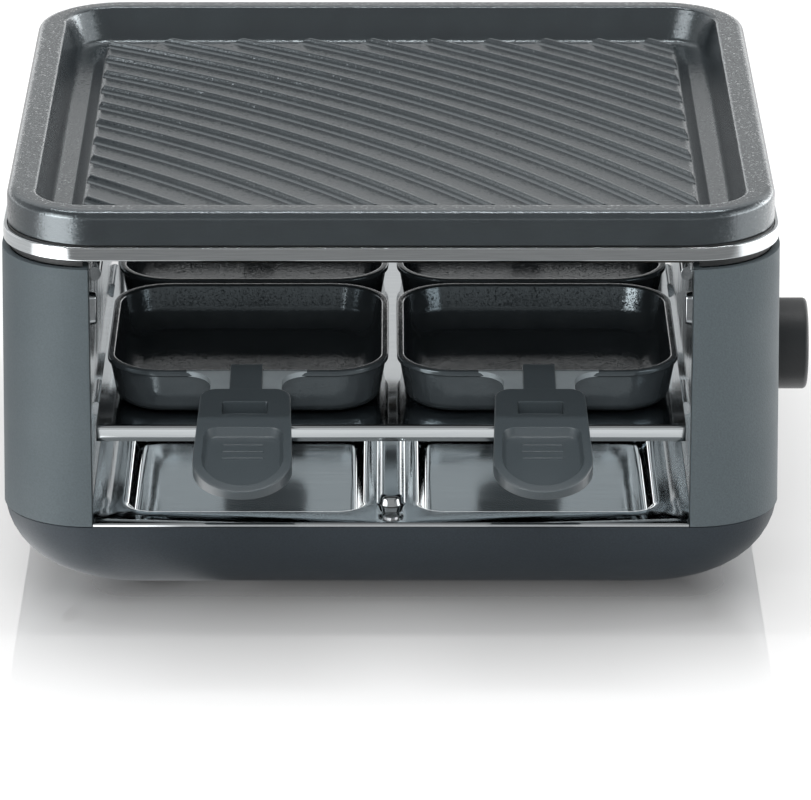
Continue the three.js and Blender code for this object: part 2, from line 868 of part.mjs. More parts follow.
// The heating element: a tube bent back and forth in one plane, both ends at the right.
function heatingElement() {
  const bend = legPitch / 2;
  const path = [[heaterEndX, -legY, halfTurn]];
  for (let turn = 0; turn < heater.legs - 1; turn++) {
    const sign = turn % 2 === 0 ? -1 : 1;
    const middleY = -legY + bend * (2 * turn + 1);
    for (let arc = 0; arc <= heater.arcs; arc++) {
      const angle = -quarterTurn + (arc / heater.arcs) * halfTurn;
      const heading = sign > 0 ? angle + quarterTurn : halfTurn - angle - quarterTurn;
      path.push([
        sign * (turnX + bend * Math.cos(angle)),
        middleY + bend * Math.sin(angle),
        heading,
      ]);
    }
  }
  path.push([heaterEndX, legY, 0]);
  const rings = path.map(([x, y, heading]) => {
    const ring = [];
    for (let side = 0; side < heater.sides; side++) {
      const around = (side / heater.sides) * 2 * halfTurn;
      const across = heater.radius * Math.cos(around);
      ring.push(new THREE.Vector3(
        x - across * Math.sin(heading),
        y + across * Math.cos(heading),
        heaterZ + heater.radius * Math.sin(around),
      ));
    }
    return ring;
  });
  return ringSkin(rings);
}

// A channel that lies across the grill under the element.
function elementRail() {
  const topZ = railHigh;
  const inside = rail.halfWide - rail.sheet;
  const reach = liningX - seat;
  return cut(
    span(-reach, reach, -rail.halfWide, rail.halfWide, topZ - rail.tall, topZ),
    span(-reach - past, reach + past, -inside, inside, topZ - rail.tall - past, topZ - rail.sheet),
  );
}

function housingWallX(z) {
  return bodyLevel(z, 0).halfX;
}

const bracketX = housingWallX(dialZ + thermostat.bracketTall / 2) - shell.wall - seat;
const switchX = bracketX - thermostat.bracketThick - seat;

function thermostatBody() {
  const long = thermostat.long;
  const corner = thermostat.corner;
  const core = loft(
    [
      { halfX: thermostat.tall / 2, halfY: thermostat.wide / 2, radius: corner, z: 0 },
      { halfX: thermostat.tall / 2, halfY: thermostat.wide / 2, radius: corner, z: long },
    ],
    smallSteps,
  ).rotate([0, quarterDegrees, 0]).translate([switchX - long, 0, 0]);
  const bushEnd = housingWallX(dialZ) + thermostat.bushOut;
  const bush = lengthwise(thermostat.bushRadius, switchX - past, bushEnd);
  const bore = lengthwise(thermostat.spindle + seat, switchX - corner, bushEnd + past);
  return joined(core, bush).subtract(bore);
}

function thermostatBracket() {
  const halfY = thermostat.bracketWide / 2;
  const halfZ = thermostat.bracketTall / 2;
  const sheet = span(bracketX - thermostat.bracketThick, bracketX, -halfY, halfY, -halfZ, halfZ);
  const backX = switchX - thermostat.long;
  const ledge = span(
    backX,
    bracketX,
    -halfY,
    halfY,
    -halfZ,
    -halfZ + thermostat.bracketThick,
  );
  const hole = lengthwise(thermostat.bushRadius + seat, bracketX - past * 2, bracketX + past);
  return joined(sheet, ledge).subtract(hole);
}

function thermostatNut() {
  const startX = housingWallX(dialZ) + seat;
  const radius = thermostat.nutFlats / Math.sqrt(3);
  return cut(
    lengthwise(radius, startX, startX + thermostat.nutThick, nutSides),
    lengthwise(thermostat.bushRadius + seat, startX - past, startX + thermostat.nutThick + past),
  );
}

// The knob about X, open behind over the nut, with a blind bore for the spindle.
function controlKnob() {
  const sides = rodSides * 2;
  const profile = [
    [0, knob.bore],
    [thermostat.spindle + seat, knob.bore],
    [thermostat.spindle + seat, knob.cavityDeep],
    [knob.cavity, knob.cavityDeep],
    [knob.cavity, 0],
    [knob.radius - seat, 0],
    [knob.radius, seat],
  ];
  for (let arc = 0; arc <= knob.arcs; arc++) {
    const angle = (arc / knob.arcs) * quarterTurn;
    profile.push([
      knob.radius - knob.rim * (1 - Math.cos(angle)),
      knob.long - knob.crown - knob.rim * (1 - Math.sin(angle)),
    ]);
  }
  profile.push([0, knob.long]);
  const geometry = new THREE.LatheGeometry(profile.map(([r, h]) => new THREE.Vector2(r, h)), sides);
  geometry.rotateZ(-quarterTurn);
  return solid(geometry);
}

function knobSpindle() {
  const startX = switchX - thermostat.corner + seat;
  return lengthwise(thermostat.spindle, startX - knobBackX, knob.bore - seat, smallSteps * 3);
}

function terminalBlock() {
  const startX = liningX + lining.sheet + seat;
  const halfY = block.wide / 2;
  const core = span(startX, startX + block.long, -halfY, halfY, blockZ, blockZ + block.tall);
  const pit = (y) =>
    lengthwise(block.pit, startX + block.long - block.pitDeep, startX + block.long + past)
      .translate([0, y, blockZ + block.tall / 2]);
  return cut(core, pit(-block.pitY), pit(block.pitY));
}

function cordGland() {
  const wallX = housingWallX(glandZ) + seat;
  return cut(
    joined(
      lengthwise(gland.stem, wallX - gland.stemLong, wallX + gland.flangeThick / 2),
      lengthwise(gland.flange, wallX, wallX + gland.flangeThick),
    ),
    lengthwise(gland.pit, wallX + gland.flangeThick - gland.pitDeep, wallX + gland.flangeThick + past),
  );
}

// A pan about its own middle: drafted body, flat flange and the tab that the handle grips.
function panSolid() {
  const wallLevel = (z, inset) => ({
    halfX: panHalfX - inset,
    halfY: panHalfY - inset,
    radius: pan.corner - inset * pan.cornerShare,
    z,
  });
  const shellLevels = (inset, lowZ, bend, highZ) => {
    const levels = [];
    for (let step = 0; step <= pan.bendSteps; step++) {
      const angle = (step / pan.bendSteps) * quarterTurn;
      levels.push(wallLevel(
        lowZ + bend * (1 - Math.cos(angle)),
        inset + pan.draft + bend * (1 - Math.sin(angle)),
      ));
    }
    levels.push(wallLevel(highZ, inset));
    return levels;
  };
  const rimLow = panRimZ - pan.rimThick;
  const flange = loft(
    [
      wallLevel(rimLow, pan.rimEdge),
      wallLevel(rimLow + pan.rimEdge, 0),
      wallLevel(panRimZ - pan.rimEdge, 0),
      wallLevel(panRimZ, pan.rimEdge),
    ],
    smallSteps,
  );
  const outside = loft(shellLevels(pan.flange - pan.wall, panLowZ, pan.bend, rimLow + seat), smallSteps);
  const inside = loft(
    shellLevels(pan.flange, panLowZ + pan.wall, pan.bend - pan.wall, panRimZ + past / 2),
    smallSteps,
  );
  return cut(joined(flange, outside, tilted(tabSolid())), inside).subtract(
    tilted(upright(screwHole, screwHole, -past - tab.thick, past).translate([0, -grip.screwAt, 0])),
  );
}

// Moves a solid from the handle's frame to the pan's: the tab's root at the flange's front edge.
function tilted(made) {
  const degrees = THREE.MathUtils.radToDeg(tab.tilt);
  return made.rotate([degrees, 0, 0]).translate([0, -panHalfY, panRimZ - tab.drop]);
}

// The tab: it leaves the flange in two hollow curves and ends under the handle.
function tabSolid() {
  const outer = tab.half + tab.fillet;
  const shape = new THREE.Shape();
  shape.moveTo(outer, pan.flange / 2);
  shape.lineTo(-outer, pan.flange / 2);
  shape.lineTo(-outer, 0);
  shape.absarc(-outer, -tab.fillet, tab.fillet, quarterTurn, 0, true);
  shape.lineTo(-tab.half, tab.corner - tab.long);
  shape.lineTo(tab.corner - tab.half, -tab.long);
  shape.lineTo(tab.half - tab.corner, -tab.long);
  shape.lineTo(tab.half, tab.corner - tab.long);
  shape.absarc(outer, -tab.fillet, tab.fillet, halfTurn, quarterTurn, true);
  const settings = { depth: tab.thick, bevelEnabled: false, curveSegments: smallSteps };
  const geometry = new THREE.ExtrudeGeometry(shape, settings);
  geometry.translate(0, 0, -tab.thick);
  return solid(geometry);
}

// The handle's outline drawn in by a distance: square shoulders, a slight taper, an oval end.
function gripRing(inset, z) {
  const ring = [];
  const add = (x, out) => ring.push(new THREE.Vector3(x, -out, z));
  const corner = grip.shoulderCorner - inset;
  for (let arc = 0; arc <= grip.arcs; arc++) {
    const angle = (arc / grip.arcs) * quarterTurn;
    add(
      grip.shoulderHalf - inset - corner * (1 - Math.cos(angle)),
      grip.start + inset + corner * (1 - Math.sin(angle)),
    );
  }
  for (let arc = 0; arc <= grip.arcs; arc++) {
    const angle = (arc / grip.arcs) * quarterTurn;
    add(
      inset - grip.shoulderHalf + corner * (1 - Math.sin(angle)),
      grip.start + inset + corner * (1 - Math.cos(angle)),
    );
  }
  const tip = grip.end - grip.wideAt - inset;
  for (let arc = 0; arc <= 2 * grip.arcs; arc++) {
    const angle = halfTurn - (arc / (2 * grip.arcs)) * halfTurn;
    add((grip.wideHalf - inset) * Math.cos(angle), grip.wideAt + tip * Math.sin(angle));
  }
  return ring;
}

function gripSolid() {
  const core = ringSkin([
    gripRing(grip.underEdge, grip.low),
    gripRing(0, grip.low + grip.underEdge),
    gripRing(0, grip.top - grip.edge),
    gripRing(grip.edge, grip.top),
  ]);
  const tongue = span(
    -grip.tongueHalf,
    grip.tongueHalf,
    -grip.start - grip.shoulderCorner,
    -grip.tongueStart,
    seat,
    grip.tongueTop,
  );
  const slot = span(
    -tab.half - seat,
    tab.half + seat,
    -tab.long - seat,
    0,
    -tab.thick - seat,
    seat,
  );
  const notch = span(
    -grip.notchHalf,
    grip.notchHalf,
    -grip.notchEnd,
    -grip.notchStart,
    grip.top - grip.notchDeep,
    grip.top + past,
  );
  const hollow = (z, inset, rear) => ({
    halfX: grip.wellHalf - inset * grip.wellNarrow,
    halfY: (grip.wellEnd - grip.wellStart - rear) / 2 - inset,
    radius: grip.shoulderCorner - inset,
    z,
    atY: -(grip.wellStart + grip.wellEnd - rear) / 2,
  });
  const thumb = loft(
    [
      hollow(grip.top - grip.wellDeep, past, grip.wellShort),
      hollow(grip.top - grip.wellDeep / 2, past / 2, grip.wellShort / 2),
      hollow(grip.top, 0, 0),
      hollow(grip.top + past, 0, 0),
    ],
    smallSteps,
  );
  const hole = upright(screwHole, screwHole, grip.low - past, seat).translate([0, -grip.screwAt, 0]);
  return cut(core, slot, notch, thumb, hole).add(tongue);
}

// A pan with its handle and screw, placed in the row and turned so that the handle faces out.
function addPan(group, { name, signX, signY }) {
  const holder = new THREE.Group();
  place(holder, "pan_" + name, panSolid(), panCoating);
  place(holder, "handle_" + name, tilted(gripSolid()), gripPlastic);
  const fixing = screwSolid(-grip.low - seat).translate([0, -grip.screwAt, grip.low - seat]);
  place(holder, "handle_screw_" + name, tilted(fixing), zincSteel);
  const middleX = signX > 0 ? panHalfX + pan.rightGap : -panHalfX - pan.leftGap;
  holder.position.set(middleX, signY * panY, 0);
  if (signY > 0) holder.rotation.z = halfTurn;
  group.add(holder);
}

const grill = new THREE.Group();
// The part's middle is halfway between the knob's tip and the left side.
grill.position.x = (widest - tipX) / 2;

place(grill, "base_pan", basePan(), blackPlastic);
place(grill, "left_housing", housing(-1), greyPlastic);
place(grill, "right_housing", housing(1), greyPlastic);
place(grill, "top_frame", topFrame(), blackPlastic);
place(grill, "trim_band", trimBand(), satinSteel);
place(grill, "grill_plate", grillPlate(), coatedCast);
place(grill, "lower_tray", lowerTray(), mirrorSteel);
place(grill, "pan_shelf", panShelf(), mirrorSteel);
place(grill, "left_inner_wall", innerWall(-1), mirrorSteel);
place(grill, "right_inner_wall", innerWall(1), mirrorSteel);
place(grill, "heating_element", heatingElement(), elementSteel);
place(grill, "element_rail_front", elementRail(), satinSteel, 0, -railY);
place(grill, "element_rail_rear", elementRail(), satinSteel, 0, railY);
place(grill, "terminal_block", terminalBlock(), paleCeramic);
place(grill, "thermostat_body", thermostatBody(), blackPlastic, 0, dialY, dialZ);
place(grill, "thermostat_bracket", thermostatBracket(), zincSteel, 0, dialY, dialZ);
place(grill, "thermostat_nut", thermostatNut(), zincSteel, 0, dialY, dialZ);
place(grill, "cord_gland", cordGland(), blackPlastic, 0, glandY, glandZ);

const dial = new THREE.Group();
dial.position.set(knobBackX, dialY, dialZ);
place(dial, "control_knob", controlKnob(), knobPlastic);
place(dial, "knob_spindle", knobSpindle(), zincSteel);
grill.add(dial);

for (const corner of corners) {
  addPan(grill, corner);
  const { name, signX, signY } = corner;
  place(grill, "foot_" + name, footSolid(), footRubber, signX * footX, signY * footY);
  const spot = [signX * postX, signY * postY];
  place(grill, "base_screw_" + name, screwSolid(baseScrewLong), zincSteel, ...spot, wellFloor - seat);
  place(grill, "top_screw_" + name, screwSolid(topScrewLong), zincSteel, ...spot, postHighLow - seat);
}
for (const [name, sign] of [["front", -1], ["rear", 1]]) {
  const upsideDown = screwSolid(tray.screwLong, true, tray.screwHead, tray.screwHeadTall);
  const fixing = upsideDown.rotate([halfDegrees, 0, 0]);
  const headZ = trayZ - tray.dimpleDeep + seat;
  place(grill, "tray_screw_" + name, fixing, zincSteel, 0, sign * trayScrewY, headZ);
}

export default grill;
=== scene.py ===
import math
from functools import partial

import bmesh
import bpy
from mathutils import Matrix, Vector


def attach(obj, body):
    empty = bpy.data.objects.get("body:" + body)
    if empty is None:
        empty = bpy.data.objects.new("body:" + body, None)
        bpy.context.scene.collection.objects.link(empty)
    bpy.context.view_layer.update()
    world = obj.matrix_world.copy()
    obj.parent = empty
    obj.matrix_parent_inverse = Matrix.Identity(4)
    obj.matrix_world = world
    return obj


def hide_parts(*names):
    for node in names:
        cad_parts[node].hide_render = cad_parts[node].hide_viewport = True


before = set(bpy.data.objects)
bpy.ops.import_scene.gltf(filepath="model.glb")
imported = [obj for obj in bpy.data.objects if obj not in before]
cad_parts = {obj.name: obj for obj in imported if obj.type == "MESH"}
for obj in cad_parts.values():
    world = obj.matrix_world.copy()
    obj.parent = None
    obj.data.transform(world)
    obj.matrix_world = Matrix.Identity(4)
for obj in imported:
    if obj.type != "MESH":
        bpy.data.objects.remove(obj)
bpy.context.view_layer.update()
print("frame loaded")

mm = 0.001
rowShift = -5.575  # the body's middle in the row frame, because the knob sticks out
quarter = math.pi / 2
seat = 0.3  # clearance between pieces that touch
overrun = 1.0  # how far a cutter passes the face that it opens
near = 1e-4  # points closer than this are one
slack = 0.01  # how far a point may be off a plane and still count as on it
crease = 32  # degrees; edges that bend more stay sharp

# heights of the body, all in millimetres
level = {
    "base": 3.0, "seam": 32.6, "housingTop": 120.2, "bandLow": 123.0, "bandHigh": 127.6,
    "rim": 139.2,
}
body = {"halfX": 125.0, "halfY": 122.0, "corner": 28.5, "flare": 1.05, "steps": 14}
corners = [
    ("front_left", -1, -1), ("front_right", 1, -1), ("rear_left", -1, 1), ("rear_right", 1, 1),
]


def linear(code):
    # a colour is written as sRGB hex and goes to the shader linear
    values = [int(code[i:i + 2], 16) / 255 for i in (1, 3, 5)]
    curved = [v / 12.92 if v <= 0.04045 else ((v + 0.055) / 1.055) ** 2.4 for v in values]
    return (*curved, 1.0)


def grey(value):
    return (value, value, value, 1.0)


def perMm(size):
    # texture scale that gives features of this size in millimetres
    return 1.0 / (size * mm)


softSpread = (0.3, 0.7)  # a soft noise seldom leaves this range


def between(low, high, spread=softSpread):
    # the two stops of a ramp
    return [(spread[0], low), (spread[1], high)]


def addNode(tree, kind, inputs=None, stops=None, **settings):
    # an input is a value, an output or a node, which then stands for its first output
    made = tree.nodes.new("ShaderNode" + kind)
    for key, value in settings.items():
        setattr(made, key, value)
    for key, value in (inputs or {}).items():
        if isinstance(value, bpy.types.Node):
            value = value.outputs[0]
        if isinstance(value, bpy.types.NodeSocket):
            tree.links.new(value, made.inputs[key])
        else:
            made.inputs[key].default_value = value
    if stops:
        elements = made.color_ramp.elements
        while len(elements) < len(stops):
            elements.new(0.5)  # any place will do, as all are placed below
        for element, (place, colour) in zip(elements, stops):
            element.position = place
            element.color = colour
    return made


def newMaterial(name):
    material = bpy.data.materials.new(name)
    material.use_nodes = True
    tree = material.node_tree
    tree.nodes.clear()
    add = partial(addNode, tree)  # adds to this material
    return material, add, add("TexCoord").outputs["Object"]


def addSurface(add, look, tone, rough, inputs, spread=softSpread):
    # the colour follows one noise and the roughness another
    colours = between(linear(look["dark"]), linear(look["light"]), spread)
    low, high = look["rough"]
    shader = add("BsdfPrincipled", {
        "Base Color": add("ValToRGB", {"Fac": tone}, colours),
        "Roughness": add("ValToRGB", {"Fac": rough}, between(grey(low), grey(high))),
        **inputs,
    })
    add("OutputMaterial", {"Surface": shader})


# Sprayed non-stick coating with mica: dark satin, and its flakes break the highlights into sparks.
# The flakes are finer than a pixel on the real one and are drawn about half a millimetre wide.
# The flakes that scatter most lie in patches, each a few flakes wide.
mica = {"patch": 2.2, "patchSpread": (0.5, 0.62), "ior": 1.6}


def micaCoating(name, look):
    material, add, spot = newMaterial(name)
    flake = add("TexVoronoi", {"Vector": spot, "Scale": perMm(look["flake"])})
    centred = add(
        "VectorMath", {0: flake.outputs["Color"], 1: (0.5, 0.5, 0.5)}, operation="SUBTRACT"
    )
    patchScale = perMm(look["flake"] * mica["patch"])
    patch = add("TexNoise", {"Vector": spot, "Scale": patchScale, "Detail": 1.0})
    scatter = between(grey(look["calm"]), grey(look["scatter"]), mica["patchSpread"])
    share = add("ValToRGB", {"Fac": patch}, scatter)
    turned = add("VectorMath", {0: centred, 1: share}, operation="MULTIPLY")
    grain = add("TexNoise", {"Vector": spot, "Scale": perMm(look["grain"]), "Detail": 2.0})
    bump = add("Bump", {"Height": grain, "Strength": look["bump"], "Distance": look["grain"] * mm})
    bent = add("VectorMath", {0: bump, 1: turned}, operation="ADD")
    cloud = add("TexNoise", {"Vector": spot, "Scale": perMm(look["cloud"]), "Detail": 3.0})
    addSurface(add, look, cloud, cloud, {
        "Normal": add("VectorMath", {0: bent}, operation="NORMALIZE"), "IOR": mica["ior"],
        "Specular IOR Level": look["specular"], "Specular Tint": linear(look["tint"]),
    })
    return material


# Moulded plastic, rubber or ceramic with a fine grain: matt and a little uneven.
mould = {"cloud": 18.0, "grainSpread": (0.25, 0.75), "ior": 1.5, "specular": 0.5}


def grainedPlastic(name, look):
    material, add, spot = newMaterial(name)
    grain = add("TexNoise", {"Vector": spot, "Scale": perMm(look["grain"]), "Detail": 3.0})
    cloud = add("TexNoise", {"Vector": spot, "Scale": perMm(mould["cloud"]), "Detail": 2.0})
    bump = add("Bump", {"Height": grain, "Strength": look["bump"], "Distance": look["grain"] * mm})
    addSurface(add, look, grain, cloud, {
        "Normal": bump, "IOR": mould["ior"],
        "Specular IOR Level": look.get("specular", mould["specular"]),
    }, mould["grainSpread"])
    return material


# Rolled steel: faint rolling marks along one way, and slow waves that bend what it mirrors.
def rolledSteel(name, look):
    material, add, spot = newMaterial(name)
    stretched = add("Mapping", {"Vector": spot, "Scale": look["stretch"]})
    marks = add("TexNoise", {"Vector": stretched, "Scale": perMm(look["mark"]), "Detail": 3.0})
    wave = add("TexNoise", {"Vector": spot, "Scale": perMm(look["wave"]), "Detail": 1.0})
    bump = add("Bump", {
        "Height": wave, "Strength": look["bump"], "Distance": look["waveDeep"] * mm,
    })
    addSurface(add, look, marks, marks, {"Normal": bump, "Metallic": 1.0})
    return material


# nearly black with a cool sheen, and sparks along the rim
castCoating = micaCoating("sprayedNonStickOnCast", {
    "dark": "#1d2225", "light": "#21272a", "flake": 0.45, "calm": 0.03, "scatter": 0.2,
    "cloud": 9.0, "rough": (0.2, 0.24), "grain": 0.8, "bump": 0.05, "specular": 0.95,
    "tint": "#e6f0f5",
})
# smoother and shinier than the casting, with fewer sparks
panLook = {
    "dark": "#313639", "light": "#373c3f", "flake": 0.35, "calm": 0.03, "scatter": 0.14,
    "cloud": 7.0, "rough": (0.12, 0.15), "grain": 0.7, "bump": 0.02, "specular": 0.5,
    "tint": "#dcebf2",
}
panCoating = micaCoating("sprayedNonStickOnSteel", panLook)
# the tab under the tongue is painted paler, a painted sheen standing in for the light that falls
# on its top, and it is duller
tabCoatingPaintedSheen = micaCoating("tabSprayWithPaintedSheen", panLook | {
    "dark": "#868e92", "light": "#8f979b", "calm": 0.02, "scatter": 0.06, "rough": (0.34, 0.4),
    "specular": 0.6,
})
# blue grey and matt, so light falls off softly over the housings
housingPlastic = grainedPlastic("grainedPolypropyleneGrey", {
    "dark": "#4b5357", "light": "#545d61", "grain": 0.6, "bump": 0.14, "rough": (0.56, 0.64),
    "specular": 0.3,
})
# darker, so the base reads as a piece of its own
basePlastic = grainedPlastic("grainedPolypropyleneDark", {
    "dark": "#2b3136", "light": "#32393f", "grain": 0.6, "bump": 0.14, "rough": (0.51, 0.59),
    "specular": 0.2,
})
# black and dull, which keeps the gap under the plate dark
framePlastic = grainedPlastic("glassFilledNylonBlack", {
    "dark": "#1c1e1f", "light": "#242627", "grain": 0.8, "bump": 0.1, "rough": (0.56, 0.64),
})
# smoother, so the handles' rounded edges catch a soft light
gripPlastic = grainedPlastic("mouldedPhenolicGrey", {
    "dark": "#3a4246", "light": "#42494d", "grain": 0.5, "bump": 0.08, "rough": (0.34, 0.42),
})
# black with a faint sheen round the knob's rim
knobPlastic = grainedPlastic("mouldedNylonBlack", {
    "dark": "#171a1c", "light": "#1d2022", "grain": 0.5, "bump": 0.1, "rough": (0.44, 0.52),
})
# black with no sheen
footRubber = grainedPlastic("mouldedRubber", {
    "dark": "#151616", "light": "#1b1c1c", "grain": 0.7, "bump": 0.1, "rough": (0.76, 0.84),
})
# cream and chalky; it shows only with the plate lifted
blockCeramic = grainedPlastic("pressedSteatite", {
    "dark": "#cfcabd", "light": "#ded9cc", "grain": 0.4, "bump": 0.15, "rough": (0.61, 0.69),
})
# bright and slightly wavy: long clear reflections in the tray and the shelf
mirrorSteel = rolledSteel("brightRolledSteel", {
    "dark": "#cdd2d5", "light": "#d5dadc", "mark": 1.2, "stretch": (0.05, 1.0, 1.0),
    "rough": (0.05, 0.08), "wave": 26.0, "waveDeep": 0.3, "bump": 0.25,
})
# the same bright steel drawn darker on the inner walls, as painted shade for their dimmer
# reflections, and wavier, so those reflections break up
wallSteelShadedDarker = rolledSteel("brightRolledSteelPaintedShade", {
    "dark": "#a0a5a8", "light": "#abb0b3", "mark": 1.2, "stretch": (1.0, 0.05, 1.0),
    "rough": (0.07, 0.11), "wave": 18.0, "waveDeep": 0.4, "bump": 0.3,
})
# flat and a little blurred: the band shows a row of soft patches
satinSteel = rolledSteel("satinRolledSteel", {
    "dark": "#b4b8ba", "light": "#bfc3c5", "mark": 0.5, "stretch": (0.04, 0.04, 1.0),
    "rough": (0.09, 0.13), "wave": 20.0, "waveDeep": 0.05, "bump": 0.1,
})
# pale grey and blurred, on screws and brackets
zincSteel = rolledSteel("zincPlatedSteel", {
    "dark": "#9a9da0", "light": "#b4b7b9", "mark": 0.8, "stretch": (1.0, 1.0, 1.0),
    "rough": (0.26, 0.4), "wave": 5.0, "waveDeep": 0.05, "bump": 0.1,
})
# brown grey in long patches, as heat leaves it
elementSteel = rolledSteel("heatTintedTube", {
    "dark": "#4b443c", "light": "#6f6860", "mark": 4.0, "stretch": (0.3, 1.0, 1.0),
    "rough": (0.35, 0.55), "wave": 6.0, "waveDeep": 0.05, "bump": 0.1,
})
print("materials made")


# pieces are modelled in millimetres about the body's middle

def allOf(bm):
    return bm.verts[:] + bm.edges[:] + bm.faces[:]


def turnOut(bm):
    # makes the faces point outwards
    bmesh.ops.recalc_face_normals(bm, faces=bm.faces[:])


def shift(bm, vec, verts=None):
    bmesh.ops.translate(bm, vec=vec, verts=verts or bm.verts[:])


def turnRound(bm, angle, axis, verts=None):
    turn = Matrix.Rotation(angle, 3, axis)
    bmesh.ops.rotate(bm, cent=(0, 0, 0), matrix=turn, verts=verts or bm.verts[:])


def newMesh(bm, name):
    mesh = bpy.data.meshes.new(name)
    bm.to_mesh(mesh)
    bm.free()
    return mesh


def addObject(name, data):
    thing = bpy.data.objects.new(name, data)
    bpy.context.scene.collection.objects.link(thing)
    return thing


def addedVerts(made):
    return [one for one in made["geom"] if isinstance(one, bmesh.types.BMVert)]


def roundCorners(bm, verts, radius, segments):
    bmesh.ops.bevel(
        bm, geom=verts, offset=radius, offset_type="OFFSET", segments=segments, profile=0.5,
        affect="VERTICES", material=-1, clamp_overlap=False,
    )


def loopSince(bm, known):
    # opens the face drawn since the known edges were there and gives back the edges round it
    edges = [edge for edge in bm.edges if edge not in known]
    faces = list({face for edge in edges for face in edge.link_faces})
    bmesh.ops.delete(bm, geom=faces, context="FACES_ONLY")
    return edges


def ring(bm, halfX, halfY, corner, z, at=(0, 0), steps=body["steps"]):
    # an edge loop round a rounded rectangle: a square whose corners are bevelled
    known = set(bm.edges)
    verts = bmesh.ops.create_grid(bm, x_segments=1, y_segments=1, size=1)["verts"]
    bmesh.ops.scale(bm, vec=(halfX, halfY, 1), verts=verts)
    shift(bm, (at[0], at[1], z), verts)
    roundCorners(bm, verts, corner, steps)
    return loopSince(bm, known)


def hoop(bm, radius, z, at=(0, 0), steps=32):
    verts = bmesh.ops.create_circle(bm, cap_ends=False, radius=radius, segments=steps)["verts"]
    shift(bm, (at[0], at[1], z), verts)
    return list({edge for vert in verts for edge in vert.link_edges})


def stack(bm, loops, closed=False, lowCap=True, highCap=True):
    # bridges loops in order and caps the first and the last
    pairs = list(zip(loops, loops[1:]))
    if closed:
        pairs.append((loops[-1], loops[0]))
    for one, two in pairs:
        bmesh.ops.bridge_loops(bm, edges=one + two)
    if not closed and lowCap:
        bmesh.ops.contextual_create(bm, geom=loops[0])
    if not closed and highCap:
        bmesh.ops.contextual_create(bm, geom=loops[-1])


def soften(bm, edges, width, segments=4):
    bmesh.ops.bevel(
        bm, geom=[edge for edge in edges if edge.is_valid], offset=width, offset_type="OFFSET",
        segments=segments, profile=0.5, affect="EDGES", material=-1, clamp_overlap=True,
    )


rounding = {"wide": 2.0, "steps": 4, "wideSteps": 6}  # past this width an edge gets more steps


def section(bm, levels, closed=False, lowCap=True, highCap=True, steps=body["steps"]):
    # levels: (halfX, halfY, corner, z, softening, at); bevels each level's loop afterwards
    loops = [ring(bm, *shape, at, steps) for *shape, _, at in levels]
    stack(bm, loops, closed, lowCap, highCap)
    turnOut(bm)
    for loop, (*_, width, _) in zip(loops, levels):
        if width:
            wide = width > rounding["wide"]
            soften(bm, loop, width, rounding["wideSteps"] if wide else rounding["steps"])


def cutPlane(bm, place, way, clear=True, dist=0.0):
    # cuts along a plane and clears what lies beyond it
    bmesh.ops.bisect_plane(
        bm, geom=allOf(bm), dist=dist, plane_co=place, plane_no=way, clear_outer=clear
    )


def closeCuts(bm):
    rims = [edge for edge in bm.edges if edge.is_boundary]
    return bmesh.ops.holes_fill(bm, edges=rims)["faces"] if rims else []


def toMesh(bm, name, angle=crease):
    # a closed shape as a mesh
    turnOut(bm)
    for face in bm.faces:
        face.smooth = True
    for edge in bm.edges:
        edge.smooth = len(edge.link_faces) == 2 and edge.calc_face_angle(0) < math.radians(angle)
    return newMesh(bm, name)


def toSheet(bm, name, outside):
    # an open sheet as a mesh, turned to the outside, because its wall grows away from there
    if sum(face.normal.dot(outside) * face.calc_area() for face in bm.faces) < 0:
        bmesh.ops.reverse_faces(bm, faces=bm.faces[:])
    for face in bm.faces:
        face.smooth = True
    return newMesh(bm, name)


def join(bm, part):
    # ends a part's own bmesh and puts its faces into bm
    made = toMesh(part, "part")
    bm.from_mesh(made)
    bpy.data.meshes.remove(made)


def carve(mesh, cutters, operation="DIFFERENCE"):
    # cuts closed shapes out of a closed mesh, or adds them, and gives back the new mesh
    base = addObject("carved", mesh)
    tools = [addObject("cutter", cutter) for cutter in cutters]
    for tool in tools:
        change = base.modifiers.new("cut", "BOOLEAN")
        change.operation = operation
        change.solver = "EXACT"
        change.object = tool
    bpy.context.view_layer.update()
    graph = bpy.context.evaluated_depsgraph_get()
    made = bpy.data.meshes.new_from_object(base.evaluated_get(graph))
    for thing in [base, *tools]:
        bpy.data.objects.remove(thing)
    return made


def piece(name, mesh, material, rides, stands=(), edges=0.0, wall=0.0, turn=None):
    place = Matrix.Scale(mm, 4) @ Matrix.Translation((rowShift, 0, 0))
    mesh.transform(place @ (turn or Matrix.Identity(4)))
    if mesh.materials:
        mesh.materials.clear()
    mesh.materials.append(material)
    thing = addObject(name, mesh)
    if wall:
        sheet = thing.modifiers.new("wall", "SOLIDIFY")
        sheet.thickness = wall * mm
        sheet.offset = -1
        sheet.use_even_offset = True
    if edges:
        rounded = thing.modifiers.new("edges", "BEVEL")
        rounded.width = edges * mm
        rounded.segments = 2
        rounded.limit_method = "ANGLE"
        rounded.angle_limit = math.radians(crease)
        rounded.harden_normals = False
    normals = thing.modifiers.new("normals", "WEIGHTED_NORMAL")
    normals.keep_sharp = True
    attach(thing, rides)
    if stands:
        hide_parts(*stands)
    return thing


def bodyLevel(z, inset, soft=0.0):
    share = (level["housingTop"] - z) / (level["housingTop"] - level["seam"])
    flare = body["flare"] * min(max(share, 0), 1)
    halfX = body["halfX"] + flare - inset
    return (halfX, body["halfY"] - inset, body["corner"] - inset, z, soft, (0, 0))


bowl = {
    "turnZ": 37.0, "inset": 36.0, "share": 0.3, "arcs": 12, "wall": 2.6, "hollow": 26.0,
    "edge": 0.35,
}
well = {"x": 104.0, "y": 95.0, "radius": 3.8, "top": 20.0}


